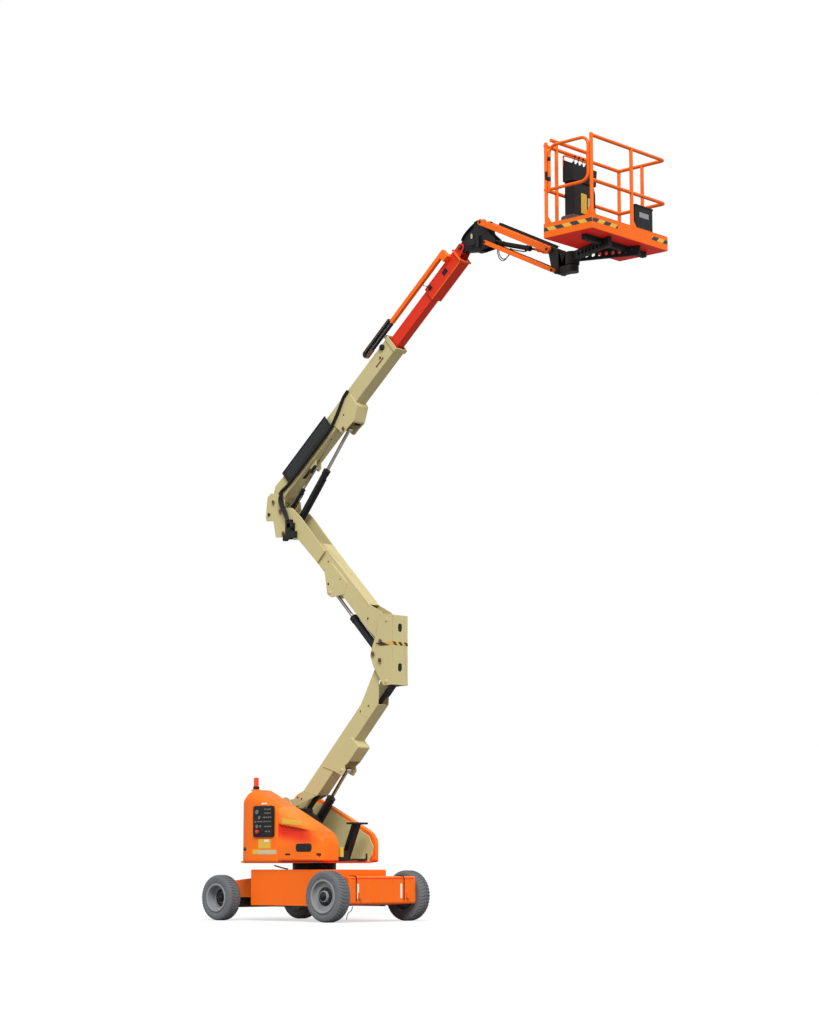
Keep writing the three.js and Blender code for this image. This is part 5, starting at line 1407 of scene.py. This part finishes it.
# ---------------------------------------------------------------- main boom and fly boom
@dataclass
class Boom:
    """The telescoping boom: outer section, fly section, guard, tray and chain."""

    plane: Plane
    ribs: int = 38
    rib_pitch: float = 0.026
    links: int = 17
    link_pitch: float = 0.0342

    def build(self, shop: Workshop, repeater: Repeater) -> None:
        """Dress the sections and add what is fixed to them."""
        shop.dressed("main_boom", CREAM, 0.004)
        shop.dressed("fly_boom", RED, 0.004)
        shop.dressed("cable_tray", ORANGE, 0.002)
        self._guard(shop, repeater)
        self._marks(shop)
        self._chain(shop, repeater)
        self._fly(shop)

    def _guard(self, shop: Workshop, repeater: Repeater) -> None:
        """The black guard along the boom's side, with louvres and the hose under it."""
        p = self.plane
        shop.dressed("boom_guard", DARK_MOULDING, 0.003)
        rib = Solid().prism(p, [(0.400, 0.050), (0.408, 0.050), (0.438, 0.190), (0.430, 0.190)], -0.1405,
                            -0.136)
        ribs = repeater.row(rib, self.ribs, p.along * self.rib_pitch, LOUVRE)
        shop.piece("guard_louvres", ribs, LOUVRE, "main_boom")
        frame = Solid()
        for v in (0.030, 0.206):
            frame.box(p, (0.352, 1.416), (-0.1415, -0.1360), (v - 0.008, v + 0.008))
        for u in (0.360, 1.408):
            frame.box(p, (u - 0.008, u + 0.008), (-0.1415, -0.1360), (0.030, 0.206))
        shop.piece("guard_frame", frame, BLACK, "main_boom", 0.001)
        hose = Solid().hose([p.at(u, -y, v) for u, y, v in (
            (-0.06, 0.128, -0.10), (0.02, 0.130, -0.02), (0.16, 0.134, 0.03), (0.36, 0.134, 0.005),
            (0.80, 0.134, -0.002),
            (1.30, 0.134, 0.000), (1.46, 0.132, 0.020), (1.66, 0.130, 0.085), (1.82, 0.126, 0.150),
            (1.93, 0.112, 0.172))], 0.022, 16)
        shop.piece("boom_hose", hose, HOSE, "main_boom")

    def _marks(self, shop: Workshop) -> None:
        """Weld seams, pins, fittings and the collar's band."""
        p = self.plane
        seams = Solid()
        for sign in (1, -1):
            for u0, u1 in ((1.98, 2.24), (2.32, 2.52)):
                seams.box(p, (u0, u1), mirrored(sign, 0.096, 0.0995), (-0.036, -0.026))
        seams.box(p, (2.846, 2.902), (-0.1225, 0.1225), (0.206, 0.214))
        shop.piece("boom_seams", seams, BEIGE, "main_boom", 0.001)
        shop.piece("boom_pins", pin_heads([(p.at(1.543, 0, -0.165), 0.121)], 0.024), BROWN_STEEL,
                   "main_boom")
        plugs = Solid()
        for u, v, r in ((1.66, -0.020, 0.012), (1.28, -0.100, 0.010), (1.40, 0.060, 0.010),
                        (2.62, 0.070, 0.014)):
            plugs.lathe(p.at(u, -0.096, v), -ACROSS, [(0, r), (0.016, r), (0.018, r * 0.7)], 16)
        shop.piece("boom_plugs", plugs, BROWN_STEEL, "main_boom")
        cap = Solid().lathe(p.at(2.735, -0.080, 0.150), -ACROSS,
                            [(0, 0.040), (0.040, 0.040), (0.048, 0.030), (0.050, 0.012)], 28)
        shop.piece("boom_cap", cap, BLACK, "main_boom")
        slot = Solid().prism(p, fillet([(2.48, 0.020, 0.008), (2.66, 0.020, 0.008), (2.66, 0.044, 0.008),
                                        (2.48, 0.044, 0.008)]),
                             -0.0985, -0.096)
        shop.piece("boom_slot", slot, BROWN_STEEL, "main_boom")
        pad = Solid().box(p, (0.700, 0.830), (-0.094, -0.060), (-0.152, -0.118))
        shop.piece("level_pad", pad, BLACK, "main_boom", 0.004)

    def _chain(self, shop: Workshop, repeater: Repeater) -> None:
        """The energy chain: links on both runs, a bend, and the copper band round it."""
        p = self.plane
        for name, v, replaces in (("chain_low", 0.220, ["energy_chain"]), ("chain_high", 0.286, [])):
            link = Solid().prism(p, fillet([(2.500, v, 0.008), (2.534, v, 0.008), (2.534, v + 0.032, 0.008),
                                            (2.500, v + 0.032, 0.008)], 2), -0.154, -0.111)
            shop.piece(name, repeater.row(link, self.links, p.along * self.link_pitch, BLACK), BLACK,
                       "fly_boom", 0, replaces)
            dash = Solid().box(p, (2.508, 2.526), (-0.1555, -0.153), (v + 0.013, v + 0.019))
            shop.piece(f"{name}_pins", repeater.row(dash, self.links, p.along * self.link_pitch, ZINC),
                       ZINC, "fly_boom")
        turns = [math.pi * k / 12 for k in range(13)]
        for name, inner, outer, low, finish in (("chain_bend", 0.016, 0.048, -0.153, BLACK),
                                                ("chain_band", 0.049, 0.056, -0.156, COPPER)):
            loop = [(3.085, 0.269 + outer)] + [(2.500 - outer * math.sin(a),
                                                0.269 + outer * math.cos(a)) for a in turns]
            loop += [(2.620 if finish is COPPER else 2.501, 0.269 - outer),
                     (2.620 if finish is COPPER else 2.501, 0.269 - inner)]
            loop += [(2.500 - inner * math.sin(a), 0.269 + inner * math.cos(a)) for a in reversed(turns)]
            loop += [(3.085 if finish is COPPER else 2.501, 0.269 + inner)]
            if finish is BLACK:
                loop[0] = (2.501, 0.269 + outer)
            shop.piece(name, Solid().prism(p, loop, low, -0.112), finish, "fly_boom")

    def _fly(self, shop: Workshop) -> None:
        """The fly's head: orange edges, a sensor, a black plate of painted shade in the side opening, and
        bolts.
        """
        p = self.plane
        edges = Solid()
        edges.box(p, (4.398, 4.423), (-0.1005, 0.1005), (0.170, 0.186))
        edges.box(p, (4.398, 4.423), (-0.1005, 0.1005), (-0.044, -0.029))
        for sign in (1, -1):
            edges.box(p, (4.398, 4.423), mirrored(sign, 0.086, 0.1005), (-0.044, 0.186))
            edges.box(p, (3.742, 4.400), mirrored(sign, 0.0765, 0.0885), (-0.0325, -0.0195))
        shop.piece("fly_edges", edges, ORANGE, "fly_boom", 0.002)
        sensor = Solid().box(p, (3.800, 3.850), (-0.118, -0.084), (0.085, 0.135))
        sensor.hose([p.at(3.825, -0.110, 0.130), p.at(3.80, -0.122, 0.165), p.at(3.78, -0.124, 0.195),
                     p.at(3.80, -0.126, 0.225)], 0.005, 8)
        shop.piece("fly_sensor", sensor, BLACK, "fly_boom", 0.002)
        # A black plate of painted shade, standing for the dark inside the fly's side opening.
        opening_shade = Solid().prism(p, fillet([(4.085, 0.045, 0.012), (4.165, 0.045, 0.012),
                                          (4.165, 0.105, 0.012), (4.085, 0.105, 0.012)]),
                               -0.0872, -0.070)
        shop.piece("fly_window", opening_shade, BLACK, "fly_boom")
        bolts = Solid()
        for u in (3.775, 3.93, 4.24, 4.36):
            for sign in (1, -1):
                bolts.bolt(p.at(u, sign * 0.0868, 0.150), ACROSS * sign, 0.008)
        shop.piece("fly_bolts", bolts, RED, "fly_boom")


# ---------------------------------------------------------------- jib
@dataclass
class Jib:
    """The parallel jib, its brackets and hoses."""

    upper: Plane
    lower: Plane
    head: Vector
    span: float = 1.243
    lids: int = 30
    lid_pitch: float = 0.036

    def hoses(self, shop: Workshop) -> None:
        """The two thin hoses that hang in a loop under the lift cylinder."""
        base = shop.machine.pivot("jib_cylinder_pivot")
        for name, y, sag in (("jib_hose_near", -0.014, 0.262), ("jib_hose_far", 0.010, 0.236)):
            route = [Vector((base.x + dx, y, base.z - dz)) for dx, dz in (
                (0.022, 0.042), (0.026, 0.066), (0.032, 0.52 * sag), (0.062, 0.84 * sag), (0.116, sag),
                (0.176, 0.93 * sag), (0.224, 0.74 * sag), (0.248, 0.130), (0.255, 0.118))]
            path = smooth_path(route, 3)
            hose = shop.piece(f"{name}_line", Solid().tube(path, 0.006, 12), HOSE, "jib_lift_barrel", 0,
                              [name])

    def build(self, shop: Workshop, repeater: Repeater) -> None:
        """Dress the links and brackets, and add the hoses on top and the pins."""
        for node, finish in (("jib_upper_links", ORANGE), ("jib_lower_links", ORANGE),
                             ("jib_bracket", BLACK),
                             ("jib_front_bracket", BLACK), ("jib_cable_track", BLACK)):
            shop.dressed(node, finish, 0.004 if finish is ORANGE else 0.003)
        top, low = self.upper, self.lower
        shop.piece("jib_head_pins", pin_heads([(self.head, 0.100)], 0.024), BROWN_STEEL, "jib_bracket")
        for name, plane, body in (("jib_upper_pins", top, "jib_upper_links"),
                                  ("jib_lower_pins", low, "jib_lower_links")):
            pins = Solid()
            for u in (0.0, self.span):
                for sign in (1, -1):
                    pins.lathe(plane.at(u, sign * 0.1375, 0), ACROSS * sign,
                               [(0, 0.019), (0.006, 0.019), (0.009, 0.012)], 20)
            shop.piece(name, pins, BLACK, body)
        self._head(shop)
        lid = Solid().box(top, (0.14, 0.166), (0.0905, 0.1355), (0.072, 0.077))
        lids = repeater.row(lid, self.lids, top.along * self.lid_pitch, BLACK)
        shop.piece("track_lids", lids, BLACK, "jib_upper_links", 0.001)

    def _head(self, shop: Workshop) -> None:
        """The hoses over the jib's head, a tag and the valve."""
        lines = Solid()
        for y, lift in ((-0.078, 0.000), (-0.060, 0.016), (-0.042, 0.006), (-0.024, 0.020)):
            lines.hose([self.head + Vector(d) for d in (
                (0.020, y, 0.085 + lift), (0.045, y, 0.130 + lift), (0.090, y, 0.175 + lift),
                (0.190, y, 0.245 + lift * 0.7), (0.310, y, 0.300 + lift * 0.5),
                (0.370, y, 0.290 + lift * 0.4))], 0.011, 10)
        shop.piece("head_hoses", lines, HOSE, "jib_bracket")
        tag = Solid().box(LEVEL, (self.head.x + 0.200, self.head.x + 0.228), (-0.1035, -0.1005),
                          (self.head.z + 0.075, self.head.z + 0.140))
        shop.piece("head_tag", tag, BEIGE, "jib_bracket", 0.0008)
        valve = Solid().box(LEVEL, (self.head.x + 0.150, self.head.x + 0.280), (-0.118, -0.100),
                            (self.head.z - 0.020, self.head.z + 0.055))
        valve.box(LEVEL, (self.head.x + 0.290, self.head.x + 0.345), (-0.116, -0.100),
                  (self.head.z - 0.060, self.head.z + 0.110))
        shop.piece("head_valve", valve, BLACK, "jib_bracket", 0.004)


# ---------------------------------------------------------------- platform
@dataclass
class Platform:
    """The work platform with its rails, gate, console and support."""

    low: Vector
    high: Vector
    rail: float = 0.023
    inset: float = 0.026
    top_rail: float = 1.170
    mid_rail: float = 0.610
    gate_tube: float = 0.020

    def build(self, shop: Workshop, repeater: Repeater) -> None:
        """Dress the nodes and add bands, gussets, fittings and the console's detail."""
        shop.dressed("platform_floor", ORANGE, 0.004)
        self._rails(shop)
        shop.dressed("platform_support", DARK_MOULDING, 0.002)
        self._bands(shop)
        self._gussets(shop)
        self._underside(shop, repeater)
        self._console(shop, repeater)
        self._box(shop)
        self._gate(shop)

    def _rails(self, shop: Workshop) -> None:
        """Round rails and posts that stand for the frame's faceted ones."""
        x0, x1 = self.low.x + self.inset, self.high.x - self.inset
        y = self.high.y - self.inset
        top, mid, foot = self.low.z + self.top_rail, self.low.z + self.mid_rail, self.low.z + 0.0303
        rails = Solid()
        for px, py, above in ((x0, -y, 0.045), (x0, -0.530, 0.100), (x0, 0.100, 0.100), (x0, y, 0),
                              (x1 - 0.340, y, 0),
                              (x1, 0.060, 0), (x1, -y, 0.026)):
            rails.rod(Vector((px, py, foot)), Vector((px, py, top + above)), self.rail)
        for z in (top, mid):
            corner = 0.035
            route = [Vector((x1, -y, z)), Vector((x1, y - corner, z)), Vector((x1 - 0.010, y - 0.010, z)),
                     Vector((x1 - corner, y, z)), Vector((x0 + corner, y, z)),
                     Vector((x0 + 0.010, y - 0.010, z)),
                     Vector((x0, y - corner, z)), Vector((x0, -y - self.rail, z))]
            rails.tube(route, self.rail - 0.0005, 20)
        rails.rod(Vector((x0, -0.640, top + 0.100)), Vector((x0, 0.140, top + 0.100)), self.rail)
        shop.piece("rail_frame", rails, ORANGE, "platform", 0, ["guard_rails"])

    def _bands(self, shop: Workshop) -> None:
        """Hazard bands on the toe board: all of the short side and both ends of the long one."""
        lo, hi = self.low, self.high
        z0, z1 = lo.z + 0.083, lo.z + 0.131
        side = Solid().box(LEVEL, (lo.x + 0.004, hi.x - 0.004), (lo.y - 0.0012, lo.y + 0.001), (z0, z1))
        side.box(LEVEL, (lo.x + 0.004, hi.x - 0.004), (hi.y - 0.001, hi.y + 0.0012), (z0, z1))
        shop.piece("band_sides", side, SIDE_TAPE, "platform")
        end = Solid()
        for y0, y1 in ((lo.y + 0.004, lo.y + 0.50), (hi.y - 0.33, hi.y - 0.004)):
            end.box(LEVEL, (hi.x - 0.001, hi.x + 0.0012), (y0, y1), (z0, z1))
        shop.piece("band_ends", end, END_TAPE, "platform")

    def _gussets(self, shop: Workshop) -> None:
        """Gussets at the posts' feet, and the toe board's top flange."""
        lo, hi = self.low, self.high
        solid = Solid()
        z = lo.z + 0.176
        for x, sign in ((hi.x - self.inset, -1), (lo.x + self.inset, 1)):
            solid.prism(LEVEL, [(x + sign * 0.010, z), (x + sign * 0.095, z), (x + sign * 0.018, z + 0.125),
                                (x + sign * 0.010, z + 0.125)],
                        lo.y + 0.012, lo.y + 0.020)
        for y in (lo.y + self.inset, 0.060):
            quad = [(y + 0.012, z), (y + 0.080, z), (y + 0.018, z + 0.085), (y + 0.012, z + 0.085)]
            solid.loft([[Vector((x, u, v)) for u, v in quad] for x in (hi.x - 0.020, hi.x - 0.012)])
        shop.piece("post_gussets", solid, ORANGE, "platform", 0.0015)
        flange = Solid()
        for sign in (1, -1):
            flange.box(LEVEL, (lo.x, hi.x), mirrored(sign, hi.y, hi.y - 0.010),
                       (lo.z + 0.172, lo.z + 0.182))
        flange.box(LEVEL, (hi.x - 0.010, hi.x), (lo.y, hi.y), (lo.z + 0.172, lo.z + 0.182))
        flange.box(LEVEL, (lo.x, lo.x + 0.010), (lo.y, hi.y), (lo.z + 0.172, lo.z + 0.182))
        shop.piece("toe_flange", flange, ORANGE, "platform", 0.002)

    def _underside(self, shop: Workshop, repeater: Repeater) -> None:
        """The red underside with its ribs."""
        lo, hi = self.low, self.high
        pan = Solid().box(LEVEL, (lo.x + 0.003, hi.x - 0.003), (lo.y + 0.003, hi.y - 0.003),
                          (lo.z - 0.0015, lo.z + 0.002))
        shop.piece("floor_pan", pan, DEEP_RED, "platform")
        tread = Solid().prism(LEVEL, fillet([(lo.x + 0.050, lo.z + 0.029), (lo.x + 0.066, lo.z + 0.029),
                                             (lo.x + 0.062, lo.z + 0.033),
                                             (lo.x + 0.054, lo.z + 0.033)]), lo.y + 0.030, hi.y - 0.030)
        shop.piece("floor_treads", repeater.row(tread, 23, Vector((0.029, 0, 0)), ZINC), ZINC, "platform")

    def _console(self, shop: Workshop, repeater: Repeater) -> None:
        """The control console: wedge desk, levers, blank plates and the dusty shelf."""
        lo, hi = shop.machine.low("control_console"), shop.machine.high("control_console")
        shop.dressed("control_console", DARK_MOULDING, 0.006)
        shelf = Solid().box(LEVEL, (lo.x + 0.004, hi.x + 0.040), (lo.y - 0.060, hi.y + 0.050),
                            (self.low.z + 0.215, self.low.z + 0.325))
        shop.piece("console_shelf", shelf, DUSTY_MOULDING, "platform", 0.030)
        front = hi.x - 0.014
        plates = Solid().box(LEVEL, (front - 0.002, front + 0.002), (lo.y + 0.150, lo.y + 0.262),
                             (lo.z + 0.165, lo.z + 0.420))
        shop.piece("console_plate_yellow", plates, YELLOW, "platform", 0.001)
        plates = Solid().box(LEVEL, (front - 0.002, front + 0.002), (lo.y + 0.285, lo.y + 0.400),
                             (lo.z + 0.130, lo.z + 0.380))
        shop.piece("console_plate_beige", plates, BEIGE, "platform", 0.001)
        top = hi.z
        lever = Solid().lathe(Vector((hi.x - 0.060, lo.y + 0.060, top - 0.060)), Vector((0.35, 0, 1)),
                              [(0, 0.018), (0.020, 0.014), (0.022, 0.005), (0.070, 0.005), (0.074, 0.011),
                               (0.096, 0.011), (0.100, 0.006)], 16)
        shop.piece("console_levers", repeater.row(lever, 5, Vector((0, 0.082, 0)), BLACK), BLACK,
                   "platform")
        rim = Solid().hose([(lo.x + 0.008, lo.y + 0.010, top - 0.090),
                            (lo.x + 0.010, lo.y + 0.010, top + 0.010),
                            (lo.x + 0.030, lo.y + 0.030, top + 0.045),
                            (lo.x + 0.030, hi.y - 0.030, top + 0.045),
                            (lo.x + 0.010, hi.y - 0.010, top + 0.010),
                            (lo.x + 0.008, hi.y - 0.010, top - 0.090)], 0.011, 12)
        shop.piece("console_hoop", rim, ORANGE, "platform")

    def _box(self, shop: Workshop) -> None:
        """The document box with its lid and blank plate."""
        shop.dressed("document_box", DARK_MOULDING, 0.008)
        lo, hi = shop.machine.low("document_box"), shop.machine.high("document_box")
        lid = Solid().box(LEVEL, (lo.x - 0.006, hi.x + 0.006), (lo.y - 0.008, hi.y + 0.008),
                          (hi.z - 0.018, hi.z + 0.006))
        shop.piece("box_lid", lid, DARK_MOULDING, "platform", 0.006)
        plate = Solid().box(LEVEL, (hi.x - 0.001, hi.x + 0.002), (lo.y + 0.075, hi.y - 0.085),
                            (hi.z - 0.150, hi.z - 0.085))
        shop.piece("box_plate", plate, GREY_PLATE, "platform", 0.001)

    def _gate(self, shop: Workshop) -> None:
        """The gate: one bent tube with its hinges, and the latch."""
        lo, hi = shop.machine.low("gate"), shop.machine.high("gate")
        r = self.gate_tube
        y = (lo.y + hi.y) / 2
        x0, x1, z0, z1 = lo.x + r, hi.x - r, self.low.z + self.mid_rail, hi.z - r
        c = 0.110
        turns = [math.pi / 2 * k / 8 for k in range(9)]
        route = [Vector((x0, y, z0 - 0.030))]
        route += [Vector((x0 + c - c * math.cos(a), y, z1 - c + c * math.sin(a))) for a in turns]
        route += [Vector((x1 - c + c * math.sin(a), y, z1 - c + c * math.cos(a))) for a in turns]
        route += [Vector((x1 - c + c * math.cos(a), y, z0 + c - c * math.sin(a))) for a in turns]
        route += [Vector((x0, y, z0))]
        shop.piece("gate_tube", Solid().tube(route, r, 18), ORANGE, "gate", 0, ["gate"])
        hinge = Solid()
        for z in (z0 + 0.10, z1 - 0.20):
            hinge.lathe(Vector((x0, y, z)), UP,
                        [(0, 0.019), (0.004, 0.021), (0.056, 0.021), (0.060, 0.019)], 20)
        shop.piece("gate_sleeves", hinge, BLACK, "gate")
        latch = Solid().box(LEVEL, (x0 - 0.048, x0 - 0.020), (y - 0.026, y + 0.026),
                            (z0 + 0.130, z0 + 0.230))
        latch.box(LEVEL, (x0 - 0.026, x0 - 0.018), (y - 0.012, y + 0.012), (z0 + 0.160, z0 + 0.180))
        shop.piece("gate_latch", latch, BLACK, "platform", 0.003)


# ---------------------------------------------------------------- everything
def main() -> None:
    """Build the whole scene."""
    logging.basicConfig(level=logging.INFO, format="%(message)s")
    machine = Machine()
    Studio().build()
    effects = Effects()
    shop = Workshop(machine, effects)
    repeater = Repeater(effects)
    pivot = machine.pivot
    jib = Jib(Plane.between(pivot("jib_lift"), pivot("jib_front_pivot")),
              Plane.between(pivot("jib_lower_pivot"),
                            pivot("jib_lower_pivot") + pivot("jib_front_pivot") - pivot("jib_lift")),
              pivot("jib_bracket_level"))
    jib.hoses(shop)
    for side in Side:
        for end, radius in (("drive", 0.330), ("steer", 0.300)):
            Wheel(end, side, radius, pivot(f"{end}_wheel_spin_{side.word}")).build(shop, repeater)
    Chassis().build(shop)
    Turntable().build(shop, repeater)
    Tower(Plane.between(pivot("tower_lift"), pivot("knuckle_pivot")),
          Plane.between(pivot("upper_link_pivot"), pivot("upright_pivot"))).build(shop)
    for name, radius, joint in (("lower_lift", 0.055, "lower_cylinder_pivot"),
                                ("tower_lift", 0.052, "tower_cylinder_pivot"),
                                ("main_lift", 0.046, "main_cylinder_pivot"),
                                ("level_cylinder", 0.026, "level_cylinder_pivot"),
                                ("jib_lift", 0.032, "jib_cylinder_pivot")):
        LiftCylinder(name, radius).build(shop, joint)
    boom = pivot("main_boom_lift")
    Boom(Plane.between(boom, boom + machine.axis("telescope"))).build(shop, repeater)
    jib.build(shop, repeater)
    Platform(machine.low("platform_floor"), machine.high("platform_floor")).build(shop, repeater)
    log.info("%d pieces", shop.count)


if __name__ == "__main__":
    main()
